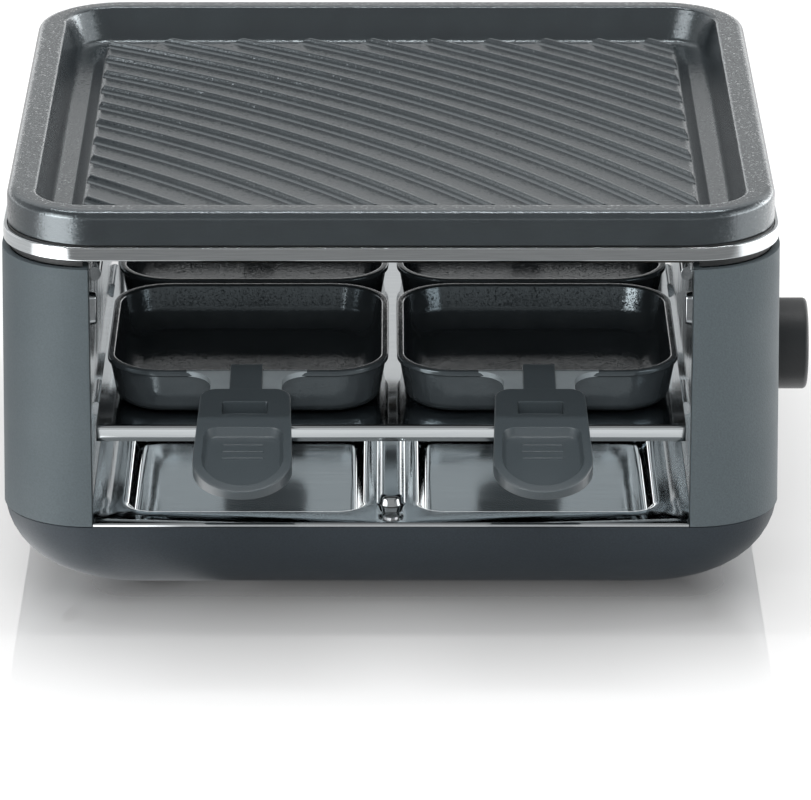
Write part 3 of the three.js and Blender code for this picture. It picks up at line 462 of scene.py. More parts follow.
def makeBase():
    levels = []
    deep = bowl["turnZ"] - level["base"]
    last = math.asin((bowl["turnZ"] - level["seam"]) / deep)
    for arc in range(bowl["arcs"] + 1):
        angle = quarter + (last - quarter) * arc / bowl["arcs"]
        inset = bowl["inset"] * (1 - math.cos(angle))
        levels.append((
            body["halfX"] + body["flare"] - inset, body["halfY"] - inset,
            body["corner"] - inset * bowl["share"], bowl["turnZ"] - deep * math.sin(angle),
            bowl["edge"] if arc == bowl["arcs"] else 0, (0, 0),
        ))
    for z in (level["seam"], bowl["hollow"]):
        levels.append((
            body["halfX"] - bowl["wall"], body["halfY"] - bowl["wall"],
            body["corner"] - bowl["wall"], z, 0, (0, 0),
        ))
    bm = bmesh.new()
    section(bm, levels)
    cutters = []
    for _, signX, signY in corners:
        hole = bmesh.new()
        spot = (signX * well["x"], signY * well["y"])
        low = hoop(hole, well["radius"], -overrun, spot)
        high = hoop(hole, well["radius"], well["top"], spot)
        stack(hole, [low, high])
        cutters.append(toMesh(hole, "well"))
    mesh = carve(toMesh(bm, "base"), cutters)
    piece("base_bowl", mesh, basePlastic, "grill", ["base_pan"])


housing = {"wall": 2.4, "opening": 96.2, "jamb": 8.0, "edge": 0.7}


def makeHousing(side, name):
    bm = bmesh.new()
    low = level["seam"] + seat
    high = level["housingTop"]
    section(bm, [bodyLevel(low, 0), bodyLevel(high, 0)], lowCap=False, highCap=False)
    cutPlane(bm, (side * housing["opening"], 0, 0), (-side, 0, 0))
    ends = [
        edge for edge in bm.edges
        if edge.is_boundary and abs(edge.verts[0].co.z - edge.verts[1].co.z) > (high - low) / 2
    ]
    for vert in addedVerts(bmesh.ops.extrude_edge_only(bm, edges=ends)):
        vert.co.y -= math.copysign(housing["jamb"], vert.co.y)
    turnOut(bm)
    piece(
        name + "_shell", toSheet(bm, name, Vector((side, 0, 0))), housingPlastic,
        "grill", [name], edges=housing["edge"], wall=housing["wall"],
    )


band = {"inset": 0.5, "thick": 1.2, "edge": 0.5}


def bandLevel(z, inset, soft=0.0):
    away = band["inset"] + inset
    return (body["halfX"] - away, body["halfY"] - inset, body["corner"] - away, z, soft, (0, 0))


def makeBand():
    bm = bmesh.new()
    section(bm, [
        bandLevel(level["bandLow"], band["thick"]),
        bandLevel(level["bandLow"], 0, band["edge"]),
        bandLevel(level["bandHigh"], 0, band["edge"]),
        bandLevel(level["bandHigh"], band["thick"]),
    ], closed=True)
    piece("steel_band", toMesh(bm, "band"), satinSteel, "grill", ["trim_band"])


deck = {"ringWide": 5.6, "ringEdge": 0.4, "inset": 2.1, "thick": 3.2, "edge": 0.3, "middle": 97.9}


def makeTopFrame():
    outer = band["thick"] + seat
    inner = outer + deck["ringWide"]
    bm = bmesh.new()
    section(bm, [
        bandLevel(level["bandLow"] + seat, inner),
        bandLevel(level["bandLow"] + seat, outer),
        bandLevel(level["bandHigh"] + seat, outer, deck["ringEdge"]),
        bandLevel(level["bandHigh"] + seat, inner, deck["ringEdge"]),
    ], closed=True)
    low = level["housingTop"] + seat
    for side in (-1, 1):
        part = bmesh.new()
        section(part, [
            bandLevel(low, deck["inset"], deck["edge"]),
            bandLevel(low + deck["thick"], deck["inset"]),
        ])
        cutPlane(part, (side * deck["middle"], 0, 0), (-side, 0, 0))
        closeCuts(part)
        join(bm, part)
    mesh = toMesh(bm, "carrier")
    piece("plate_carrier", mesh, framePlastic, "grill", ["top_frame"])


makeBase()
makeHousing(-1, "left_housing")
makeHousing(1, "right_housing")
makeBand()
makeTopFrame()
print("body made")


plate = {
    "halfX": 123.2, "halfY": 121.1, "corner": 29.4, "skirtLow": 127.9, "skirt": 3.0,
    "skirtEdge": 0.4, "skirtInnerEdge": 0.5, "shoulder": 3.0, "rimX": 113.8, "rimY": 112.9,
    "rimCorner": 17.0, "rimShare": 0.6, "rimEdge": 1.1, "lean": 4.2, "gutterZ": 127.0,
    "gutterX": 103.2, "gutterThick": 3.0, "gutterCove": 2.2, "fieldX": 98.8, "fieldHalfY": 95.0,
    "fieldY": -6.6, "fieldCorner": 8.0, "fieldZ": 133.0, "fieldThick": 4.7, "fieldEdge": 1.4,
    "fieldCove": 1.4, "underZ": 135.4, "underIn": 1.2, "underOut": 1.9, "underEdge": 0.8,
    "crease": 40,
}
ribs = {
    "centre": -400.0, "count": 19, "far": 691.0, "pitch": 12.4, "growth": 0.11, "tall": 2.2,
    "sunk": 1.0, "crest": 0.42, "shoulder": 1.0, "shoulderTall": 0.4, "foot": 2.1,
    "lean": 1.6, "stepLong": 4.0, "crestSoft": 0.35, "footSoft": 0.8, "reach": 3.0,
    "tipUp": 0.2, "tipSoft": 0.35,
}


def outerLevel(z, inset, soft=0.0):
    p = plate
    return (p["halfX"] - inset, p["halfY"] - inset, p["corner"] - inset, z, soft, (0, 0))


def rimLevel(z, inset, soft=0.0):
    p = plate
    corner = p["rimCorner"] - inset * p["rimShare"]
    return (p["rimX"] - inset, p["rimY"] - inset, corner, z, soft, (0, 0))


def fieldLevel(z, inset, soft=0.0):
    p = plate
    return (
        p["fieldX"] - inset, p["fieldHalfY"] - inset, p["fieldCorner"] - inset, z, soft,
        (0, p["fieldY"]),
    )


def makeRib(bm, radius):
    # one rib: its section turned about the ribs' centre, then cut along the field's edges
    r = ribs
    p = plate
    farX = p["fieldX"] + r["reach"] - r["centre"]
    nearX = -p["fieldX"] - r["reach"] - r["centre"]
    farY = p["fieldY"] + p["fieldHalfY"] + r["reach"] - r["centre"]
    nearY = p["fieldY"] - p["fieldHalfY"] - r["reach"] - r["centre"]
    start = max(math.acos(min(1, farX / radius)), math.asin(nearY / radius))
    end = min(math.asin(min(1, farY / radius)), math.acos(nearX / radius))
    outline = [
        (-r["foot"], -r["sunk"]), (-r["foot"], 0), (-r["shoulder"], r["shoulderTall"]),
        (-r["crest"], r["tall"]), (r["crest"], r["tall"]), (r["shoulder"], r["shoulderTall"]),
        (r["foot"], 0), (r["foot"], -r["sunk"]),
    ]
    part = bmesh.new()
    verts = [part.verts.new((radius + out, 0, p["fieldZ"] + up)) for out, up in outline]
    part.faces.new(verts)
    roundCorners(part, [verts[3], verts[4]], r["crestSoft"], 3)
    roundCorners(part, [verts[2], verts[5]], r["footSoft"], 4)
    turnRound(part, start, "Z")
    bmesh.ops.spin(
        part, geom=part.faces[:], cent=(0, 0, 0), axis=(0, 0, 1), angle=end - start,
        steps=math.ceil((end - start) * radius / r["stepLong"]), use_duplicate=False,
    )
    shift(part, (r["centre"], r["centre"], 0))
    turnOut(part)
    slope = r["lean"] / (r["tall"] + r["sunk"])
    for signX, signY in ((1, 0), (-1, 0), (0, 1), (0, -1)):
        edge = Vector((
            signX * (p["fieldX"] - seat), p["fieldY"] + signY * (p["fieldHalfY"] - seat),
            p["fieldZ"],
        ))
        cutPlane(part, edge, Vector((signX, signY, slope)).normalized(), dist=near)
        tips = {
            one for face in closeCuts(part) for one in face.edges
            if max(vert.co.z for vert in one.verts) > p["fieldZ"] + r["tipUp"]
        }
        if tips:
            soften(part, list(tips), r["tipSoft"], 3)
    join(bm, part)


def makePlate():
    p = plate
    slope = p["gutterX"] - p["fieldX"]
    under = p["gutterZ"] - p["gutterThick"]
    bm = bmesh.new()
    section(bm, [
        fieldLevel(p["fieldZ"] - p["fieldThick"], p["skirt"]),
        fieldLevel(under, p["skirt"] - slope),
        rimLevel(under, p["underIn"], p["underEdge"]),
        rimLevel(p["underZ"], -p["underOut"]),
        outerLevel(p["underZ"], p["skirt"]),
        outerLevel(p["skirtLow"], p["skirt"], p["skirtInnerEdge"]),
        outerLevel(p["skirtLow"], 0, p["skirtEdge"]),
        outerLevel(level["rim"], 0, p["shoulder"]),
        rimLevel(level["rim"], 0, p["rimEdge"]),
        rimLevel(p["gutterZ"], p["lean"], p["gutterCove"]),
        fieldLevel(p["gutterZ"], -slope, p["fieldCove"]),
        fieldLevel(p["fieldZ"], 0, p["fieldEdge"]),
    ])
    for index in range(ribs["count"]):
        radius = ribs["far"] - ribs["pitch"] * index - ribs["growth"] * index * index
        makeRib(bm, radius)
    mesh = toMesh(bm, "plate", p["crease"])
    piece("ribbed_plate", mesh, castCoating, "plate", ["grill_plate"])


makePlate()
print("plate made")


tray = {
    "topZ": 34.1, "sheet": 1.2, "halfX": 99.5, "sideY": 113.7, "tongueX": 95.9,
    "tongueY": 121.7, "recessX": 47.2, "recessY": 67.5, "recessHalfX": 38.8,
    "recessHalfY": 42.5, "recessCorner": 9.0, "recessEdges": (1.3, 1.6), "deep": 4.5,
    "slope": 3.4, "beadHalf": 4.45, "beadHalfY": 107.5, "beadTall": 3.3, "beadTop": 3.3,
    "beadEdges": (0.4, 1.2), "beadFlat": 0.1, "dimple": 4.1, "dimpleDeep": 0.8,
    "dimpleEdges": (0.25, 0.3), "screwY": 116.0, "steps": 8,
}


def makeTray():
    t = tray
    bm = bmesh.new()
    outline = [
        (t["tongueX"], -t["tongueY"]), (t["tongueX"], -t["sideY"]), (t["halfX"], -t["sideY"]),
        (t["halfX"], t["sideY"]), (t["tongueX"], t["sideY"]), (t["tongueX"], t["tongueY"]),
    ]
    outline += [(-x, y) for x, y in reversed(outline)]
    z = t["topZ"]
    steps = t["steps"]
    verts = [bm.verts.new((x, y, z)) for x, y in outline]
    rim = [bm.edges.new((a, b)) for a, b in zip(verts, verts[1:] + verts[:1])]
    pressed = []  # each press's loop in the sheet, its far loop and the two edges' widths
    for _, signX, signY in corners:
        spot = (signX * t["recessX"], signY * t["recessY"])
        top = ring(bm, t["recessHalfX"], t["recessHalfY"], t["recessCorner"], z, spot, steps)
        low = ring(
            bm, t["recessHalfX"] - t["slope"], t["recessHalfY"] - t["slope"],
            t["recessCorner"] - t["slope"] / 2, z - t["deep"], spot, steps,
        )
        stack(bm, [top, low], lowCap=False)
        pressed.append((top, low, t["recessEdges"]))
    flat = t["beadFlat"]
    foot = ring(bm, t["beadHalf"], t["beadHalfY"], t["beadHalf"] - flat, z, steps=steps)
    crest = ring(
        bm, t["beadTop"], t["beadHalfY"] - t["beadHalf"] + t["beadTop"], t["beadTop"] - flat,
        z + t["beadTall"], steps=steps,
    )
    stack(bm, [foot, crest], lowCap=False)
    pressed.append((foot, crest, t["beadEdges"]))
    for sign in (-1, 1):
        spot = (0, sign * t["screwY"])
        top = hoop(bm, t["dimple"], z, spot)
        low = hoop(bm, t["dimple"] - t["dimpleDeep"], z - t["dimpleDeep"], spot)
        stack(bm, [top, low], lowCap=False)
        pressed.append((top, low, t["dimpleEdges"]))
    holes = [edge for loop, *_ in pressed for edge in loop]
    bmesh.ops.triangle_fill(bm, edges=rim + holes, use_beauty=True, use_dissolve=False)
    turnOut(bm)
    for top, low, (topWidth, lowWidth) in pressed:
        soften(bm, top, topWidth, 4)
        soften(bm, low, lowWidth, 5)
    mesh = toSheet(bm, "tray", Vector((0, 0, 1)))
    piece("drip_tray", mesh, mirrorSteel, "grill", ["lower_tray"], wall=t["sheet"])


shelf = {"topZ": 59.1, "halfX": 95.6, "halfY": 98.2, "lip": 5.5, "sheet": 1.2, "bend": 1.5}


def makeShelf():
    s = shelf
    bm = bmesh.new()
    profile = [
        (-s["halfY"], s["topZ"] - s["lip"]), (-s["halfY"], s["topZ"]),
        (s["halfY"], s["topZ"]), (s["halfY"], s["topZ"] - s["lip"]),
    ]
    verts = [bm.verts.new((-s["halfX"], y, z)) for y, z in profile]
    edges = [bm.edges.new(pair) for pair in zip(verts, verts[1:])]
    moved = addedVerts(bmesh.ops.extrude_edge_only(bm, edges=edges))
    shift(bm, (2 * s["halfX"], 0, 0), moved)
    folds = [
        edge for edge in bm.edges
        if len(edge.link_faces) == 2 and abs(edge.verts[0].co.z - s["topZ"]) < slack
    ]
    soften(bm, folds, s["bend"], 6)
    turnOut(bm)
    piece(
        "shelf_sheet", toSheet(bm, "shelf", Vector((0, 0, 1))), mirrorSteel,
        "grill", ["pan_shelf"], wall=s["sheet"],
    )


lining = {
    "face": 96.9, "sheet": 1.0, "lowZ": 34.4, "halfY": 113.7, "bead": 2.6, "beadLong": 22.0,
    "beadEdge": 1.6, "shelfBeadY": 60.0, "shelfBeadZ": 55.0, "railBeadY": 53.5,
    "railBeadZ": 99.55, "pressY": -95.0, "pressZ": 98.2, "pressHalf": 2.4, "pressTall": 5.8,
    "pressOut": 2.0, "pressLean": 0.6, "pressEdge": 0.5, "pressFlat": 0.05, "pressSteps": 8,
}


def makeInnerWall(side, name):
    w = lining
    tall = level["housingTop"] - w["lowZ"]
    middle = side * (w["face"] + w["sheet"] / 2)
    bm = bmesh.new()
    bmesh.ops.create_cube(bm, size=1)
    bmesh.ops.scale(bm, vec=(w["sheet"], 2 * w["halfY"], tall), verts=bm.verts[:])
    shift(bm, (middle, 0, w["lowZ"] + tall / 2))
    for sign in (-1, 1):
        for y, z in ((w["shelfBeadY"], w["shelfBeadZ"]), (w["railBeadY"], w["railBeadZ"])):
            bead = bmesh.new()
            bmesh.ops.create_cone(
                bead, cap_ends=True, segments=32, radius1=w["bead"], radius2=w["bead"],
                depth=w["beadLong"],
            )
            turnRound(bead, quarter, "X")
            soften(bead, bead.edges[:], w["beadEdge"], 4)
            shift(bead, (middle, sign * y, z))
            cutPlane(bead, (middle, 0, 0), (side, 0, 0))
            closeCuts(bead)
            join(bm, bead)
    press = bmesh.new()
    loops = []
    for height, inset in ((-w["sheet"] / 2, 0), (w["pressOut"], w["pressLean"])):
        half = w["pressHalf"] - inset
        loops.append(ring(
            press, w["pressTall"] - inset, half, half - w["pressFlat"], height,
            steps=w["pressSteps"],
        ))
    stack(press, loops)
    turnOut(press)
    soften(press, loops[1], w["pressEdge"], 3)
    turnRound(press, -side * quarter, "Y")
    shift(press, (side * w["face"], w["pressY"], w["pressZ"]))
    join(bm, press)
    piece(name + "_sheet", toMesh(bm, name), wallSteelShadedDarker, "grill", [name])


makeTray()
makeShelf()
makeInnerWall(-1, "left_inner_wall")
makeInnerWall(1, "right_inner_wall")
print("sheets made")


pan = {
    "leftX": 46.8, "rightX": 47.9, "y": 46.25, "halfX": 45.95, "halfY": 44.75, "corner": 19.0,
    "cornerShare": 0.8, "rimZ": 75.1, "rimThick": 2.0, "rimEdge": 0.7, "rimUnderEdge": 0.3,
    "flange": 2.3, "flangeEdge": 0.7, "lowZ": 59.4, "wall": 1.5, "draft": 2.4, "bend": 3.6,
    "floor": 2.6, "cove": 6.0, "steps": 12,
}
tab = {
    "half": 11.5, "fillet": 8.0, "filletFlat": 0.05, "thick": 1.8, "long": 21.0, "drop": 0.1,
    "tilt": 0.1135,  # in radians
}
grip = {
    "start": 15.0, "end": 83.5, "top": 1.4, "low": -3.8, "shoulder": 14.4, "corner": 6.0,
    "wide": 15.7, "wideAt": 64.5, "tipFlat": 0.02, "edge": 1.5, "underEdge": 2.1,
    "tongueHalf": 5.25, "tongueStart": -3.4, "tongueTop": 1.1, "tongueEdge": 0.3,
    "fallFrom": 56.0, "fall": 2.4, "fallSteps": 8,
}
lipShare = 0.3  # the lip round both hollows curves through this share of its width and height
notch = {
    "half": 7.2, "start": 24.5, "end": 33.3, "deep": 4.6, "corner": 0.8, "lip": 0.5,
    "floorEdge": 0.4, "steps": 5,
}
scoop = {
    "start": 43.0, "side": 2.9, "deep": 2.7, "rearLean": 1.8, "sideLean": 1.0, "corner": 5.0,
    "fillet": 0.9, "lip": 0.6,
}
gripLines = {
    "half": 6.6, "first": 50.5, "pitch": 4.6, "count": 3, "wide": 1.2, "tall": 0.5, "edge": 0.4,
}


def panLevel(z, inset, soft=0.0):
    p = pan
    corner = p["corner"] - inset * p["cornerShare"]
    return (p["halfX"] - inset, p["halfY"] - inset, corner, z, soft, (0, 0))


def tiltMatrix():
    tilt = Matrix.Rotation(tab["tilt"], 4, "X")
    return Matrix.Translation((0, -pan["halfY"], pan["rimZ"] - tab["drop"])) @ tilt


def panMatrix(signX, signY):
    x = pan["rightX"] if signX > 0 else -pan["leftX"]
    turn = Matrix.Rotation(math.pi if signY > 0 else 0, 4, "Z")
    return Matrix.Translation((x, signY * pan["y"], 0)) @ turn


def makePan(name, signX, signY):
    p = pan
    bm = bmesh.new()
    rimLow = p["rimZ"] - p["rimThick"]
    section(bm, [
        panLevel(p["lowZ"], p["flange"] - p["wall"] + p["draft"], p["bend"]),
        panLevel(rimLow, p["flange"] - p["wall"], p["rimUnderEdge"]),
        panLevel(rimLow, 0, p["rimEdge"]),
        panLevel(p["rimZ"], 0, p["rimEdge"]),
        panLevel(p["rimZ"], p["flange"], p["flangeEdge"]),
        panLevel(p["lowZ"] + p["floor"], p["flange"] + p["draft"], p["cove"]),
    ], steps=p["steps"])
    leaf = bmesh.new()
    t = tab
    outer = t["half"] + t["fillet"]
    spots = [
        (outer, p["flange"] / 2), (-outer, p["flange"] / 2), (-outer, 0), (-t["half"], 0),
        (-t["half"], -t["long"]), (t["half"], -t["long"]), (t["half"], 0), (outer, 0),
    ]
    verts = [leaf.verts.new((x, y, 0)) for x, y in spots]
    leaf.faces.new(verts)
    roundCorners(leaf, [verts[3], verts[6]], t["fillet"] - t["filletFlat"], 8)
    moved = addedVerts(bmesh.ops.extrude_face_region(leaf, geom=leaf.faces[:]))
    shift(leaf, (0, 0, -t["thick"]), moved)
    turnOut(leaf)
    leaf.transform(tiltMatrix())
    for face in leaf.faces:
        face.material_index = 1  # the tab's own coating
    join(bm, leaf)
    shell = piece(
        "pan_shell_" + name, toMesh(bm, "pan"), panCoating,
        "pan_" + name + "_set", ["pan_" + name], turn=panMatrix(signX, signY),
    )
    shell.data.materials.append(tabCoatingPaintedSheen)


def gripRing(bm, inset, start, corner, z):
    # an edge loop round the handle's outline, drawn in: square shoulders and an oval tip
    g = grip
    known = set(bm.edges)
    wide = g["wide"] - inset
    spread = (start - g["start"]) / (g["wideAt"] - g["start"])
    shoulder = g["shoulder"] + (g["wide"] - g["shoulder"]) * spread - inset
    tip = g["end"] - inset
    squeeze = wide / (tip - g["wideAt"])  # the tip is bevelled as a circle and then stretched
    spots = [
        (shoulder, -start), (wide, -g["wideAt"]), (wide, -tip),
        (-wide, -tip), (-wide, -g["wideAt"]), (-shoulder, -start),
    ]
    verts = [bm.verts.new((x, y * squeeze, z)) for x, y in spots]
    bm.faces.new(verts)
    roundCorners(bm, [verts[2], verts[3]], wide - g["tipFlat"], 14)
    roundCorners(bm, [verts[0], verts[5]], corner * squeeze, 6)
    edges = loopSince(bm, known)
    loop = list({vert for edge in edges for vert in edge.verts})
    bmesh.ops.scale(bm, vec=(1, 1 / squeeze, 1), verts=loop)
    return edges


def gripBlank():
    # the outline made solid, with its top falling towards the tip
    g = grip
    bm = bmesh.new()
    top = gripRing(bm, 0, g["start"], g["corner"], g["top"])
    low = gripRing(bm, 0, g["start"], g["corner"], g["low"])
    stack(bm, [top, low])
    turnOut(bm)
    soften(bm, top, g["edge"], 5)
    soften(bm, low, g["underEdge"], 5)
    long = g["end"] - g["fallFrom"]
    for step in range(g["fallSteps"]):
        y = -g["fallFrom"] - long * step / g["fallSteps"]
        cutPlane(bm, (0, y, 0), (0, 1, 0), clear=False)
    for vert in bm.verts:
        away = max(0, -vert.co.y - g["fallFrom"]) / long
        high = (vert.co.z - g["low"]) / (g["top"] - g["low"])
        vert.co.z -= g["fall"] * high * away * away
    return toMesh(bm, "grip")


def scoopCutter():
    # the thumb hollow: a steep rear wall, a flat floor and a rounded lip
    s = scoop
    top = grip["top"]
    bm = bmesh.new()
    loops = [gripRing(
        bm, s["side"] + s["sideLean"], s["start"] + s["rearLean"], s["corner"] - s["sideLean"],
        top - s["deep"],
    )]
    part = s["lip"] * lipShare
    for out, z in (
        (0, top - s["lip"]), (part, top - part), (s["lip"], top + slack),
        (s["lip"], top + overrun),
    ):
        loops.append(gripRing(bm, s["side"] - out, s["start"] - out, s["corner"] + out, z))
    stack(bm, loops)
    turnOut(bm)
    soften(bm, loops[0], s["fillet"], 4)
    return toMesh(bm, "scoop")


def notchCutter():
    n = notch
    top = grip["top"]
    halfY = (n["end"] - n["start"]) / 2
    at = (0, -(n["end"] + n["start"]) / 2)
    part = n["lip"] * lipShare
    bm = bmesh.new()
    section(bm, [
        (n["half"] + out, halfY + out, n["corner"] + out, z, soft, at)
        for out, z, soft in (
            (0, top - n["deep"], n["floorEdge"]), (0, top - n["lip"], 0), (part, top - part, 0),
            (n["lip"], top + slack, 0), (n["lip"], top + overrun, 0),
        )
    ], steps=n["steps"])
    return toMesh(bm, "notch")


def boxMesh(lowX, highX, lowY, highY, lowZ, highZ, soft=0.0):
    bm = bmesh.new()
    bmesh.ops.create_cube(bm, size=1)
    bmesh.ops.scale(bm, vec=(highX - lowX, highY - lowY, highZ - lowZ), verts=bm.verts[:])
    shift(bm, ((lowX + highX) / 2, (lowY + highY) / 2, (lowZ + highZ) / 2))
    if soft:
        soften(bm, bm.edges[:], soft, 3)
    return toMesh(bm, "box")


def makeGrip(name, signX, signY):
    g = grip
    lines = gripLines
    slot = boxMesh(
        -tab["half"] - seat, tab["half"] + seat, -tab["long"] - seat, 0,
        -tab["thick"] - seat, seat,
    )
    mesh = carve(gripBlank(), [slot, notchCutter(), scoopCutter()])
    added = [boxMesh(
        -g["tongueHalf"], g["tongueHalf"], -g["start"] - g["corner"], -g["tongueStart"], seat,
        g["tongueTop"], g["tongueEdge"],
    )]
    floorZ = g["top"] - scoop["deep"]
    for index in range(lines["count"]):
        y = -lines["first"] - lines["pitch"] * index
        added.append(boxMesh(
            -lines["half"], lines["half"], y - lines["wide"] / 2, y + lines["wide"] / 2,
            floorZ - lines["tall"], floorZ + lines["tall"], lines["edge"],
        ))
    mesh = carve(mesh, added, "UNION")
    bm = bmesh.new()
    bm.from_mesh(mesh)
    bpy.data.meshes.remove(mesh)
    piece(
        "grip_" + name, toMesh(bm, "handle"), gripPlastic,
        "pan_" + name + "_set", ["handle_" + name], turn=panMatrix(signX, signY) @ tiltMatrix(),
    )


for name, signX, signY in corners:
    makePan(name, signX, signY)
    makeGrip(name, signX, signY)
print("pans made")


knob = {
    "radius": 15.0, "backX": 126.35, "tipX": 137.2, "rim": 1.4, "crown": 0.6,
    "crownAtShare": 1 / 2, "crownDropShare": 1 / 3, "cavity": 12.3, "cavityDeep": 3.6,
    "y": -60.0, "z": 74.0, "steps": 72,
}


def makeKnob():
    k = knob
    bm = bmesh.new()
    long = k["tipX"] - k["backX"]
    rimAt = long - k["crown"]
    profile = [
        (0, k["cavityDeep"]), (k["cavity"], k["cavityDeep"]), (k["cavity"], 0), (k["radius"], 0),
        (k["radius"], rimAt),
        (k["radius"] * k["crownAtShare"], long - k["crown"] * k["crownDropShare"]), (0, long),
    ]
    verts = [bm.verts.new((h, r, 0)) for r, h in profile]
    edges = [bm.edges.new(pair) for pair in zip(verts, verts[1:])]
    bmesh.ops.spin(
        bm, geom=verts + edges, cent=(0, 0, 0), axis=(1, 0, 0), angle=2 * math.pi,
        steps=k["steps"], use_merge=True, use_duplicate=False,
    )
    bmesh.ops.remove_doubles(bm, verts=bm.verts[:], dist=near)
    turnOut(bm)
    tip = [one for one in bm.edges if all(abs(vert.co.x - rimAt) < slack for vert in one.verts)]
    soften(bm, tip, k["rim"], 5)
    shift(bm, (k["backX"], k["y"], k["z"]))
    piece("knob_cap", toMesh(bm, "knob"), knobPlastic, "knob", ["control_knob"])


foot = {"x": 76.0, "y": 72.0, "radius": 8.0, "edge": 0.6}


def makeFoot(name, signX, signY):
    bm = bmesh.new()
    spot = (signX * foot["x"], signY * foot["y"])
    low = hoop(bm, foot["radius"], 0, spot, 40)
    high = hoop(bm, foot["radius"], level["base"] - seat, spot, 40)
    stack(bm, [low, high])
    turnOut(bm)
    soften(bm, low, foot["edge"], 3)
    piece("pad_" + name, toMesh(bm, "pad"), footRubber, "grill", ["foot_" + name])


makeKnob()
for name, signX, signY in corners:
    makeFoot(name, signX, signY)
print("knob and feet made")


# the heating element lies in one plane: four legs, three bends and both ends at the right
element = {
    "radius": 3.25, "z": 112.0, "legY": 80.0, "legs": 4, "turnX": 57.98, "endX": 104.0,
    "steps": 20, "sides": 24,
}


def makeElement():
    t = element
    bend = t["legY"] / (t["legs"] - 1)
    bm = bmesh.new()
    verts = bmesh.ops.create_circle(
        bm, cap_ends=True, radius=t["radius"], segments=t["sides"]
    )["verts"]
    turnRound(bm, quarter, "Y", verts)
    shift(bm, (t["endX"], -t["legY"], t["z"]), verts)
    loop = bm.edges[:]
    at = t["endX"]
    for index in range(t["legs"]):
        side = -1 if index % 2 == 0 else 1
        last = index == t["legs"] - 1
        goal = t["endX"] if last else side * t["turnX"]
        grown = bmesh.ops.extrude_edge_only(bm, edges=loop)
        moved = addedVerts(grown)
        shift(bm, (goal - at, 0, 0), moved)
        loop = [
            one for one in grown["geom"]
            if isinstance(one, bmesh.types.BMEdge) and all(vert in moved for vert in one.verts)
        ]
        at = goal
        if not last:
            middle = bend * (2 * index + 1) - t["legY"]
            turned = bmesh.ops.spin(
                bm, geom=loop, cent=(goal, middle, t["z"]), axis=(0, 0, 1), angle=side * math.pi,
                steps=t["steps"], use_duplicate=False,
            )["geom_last"]
            loop = [one for one in turned if isinstance(one, bmesh.types.BMEdge)]
    bmesh.ops.contextual_create(bm, geom=loop)
    piece(
        "element_tube", toMesh(bm, "element"), elementSteel, "grill",
        ["heating_element"],
    )


makeElement()
print("element made")


# the nodes that stay as CAD made them only get their finishes
zincNodes = [
    "thermostat_bracket", "thermostat_nut", "knob_spindle", "tray_screw_front", "tray_screw_rear",
]
for start in ("base_screw_", "top_screw_", "handle_screw_"):
    zincNodes += [start + name for name, _, _ in corners]
for material, names in (
    (satinSteel, ["element_rail_front", "element_rail_rear"]), (blockCeramic, ["terminal_block"]),
    (framePlastic, ["thermostat_body", "cord_gland"]), (zincSteel, zincNodes),
):
    for name in names:
        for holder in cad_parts[name].material_slots:
            holder.material = material
print("kept nodes dressed")


# Low down, gloss sees the surroundShares, brighter next to the floor. Between the two lift
# heights they give way to a plain sky, which gets darker from the back to the front.
studio = {
    "floorSize": 6.0, "floor": "#cfcfcf", "floorRough": 0.5, "glow": 0.46, "world": 0.38,
    "front": 0.3, "back": 0.65, "fallFrom": -0.2, "fallTo": 0.6, "liftFrom": 0.35, "liftTo": 0.6,
    "lowFrom": 0.1, "lowTo": 0.2, "nearFloor": 3.0, "strongest": 5.0, "close": 0.9,
    "closeFrom": -0.4, "closeTo": -0.26,
}
# what stands round the object, by turns from its left side, as shares of the strongest:
# a big soft box at the front left, a dim front and a paler wall at the right
surroundShares = [
    (0.0, 0.1), (0.045, 0.1), (0.08, 1.0), (0.15, 1.0), (0.165, 0.07), (0.4, 0.07),
    (0.42, 0.42), (0.62, 0.42), (0.7, 0.14), (0.97, 0.14), (1.0, 0.1),
]
# the floor mirrors most beside the feet, and the mirror fades out with the distance
mirror = {"halfX": 90.0, "halfY": 86.0, "reach": 165.0, "most": 0.85, "power": 2.0, "rough": 0.04}


def surroundStrength(add, way):
    turn = add("TexGradient", {"Vector": way}, gradient_type="RADIAL")
    stops = [(place, grey(share)) for place, share in surroundShares]
    shares = add("ValToRGB", {"Fac": turn.outputs["Fac"]}, stops)
    return add("Math", {0: shares, 1: studio["strongest"]}, operation="MULTIPLY")


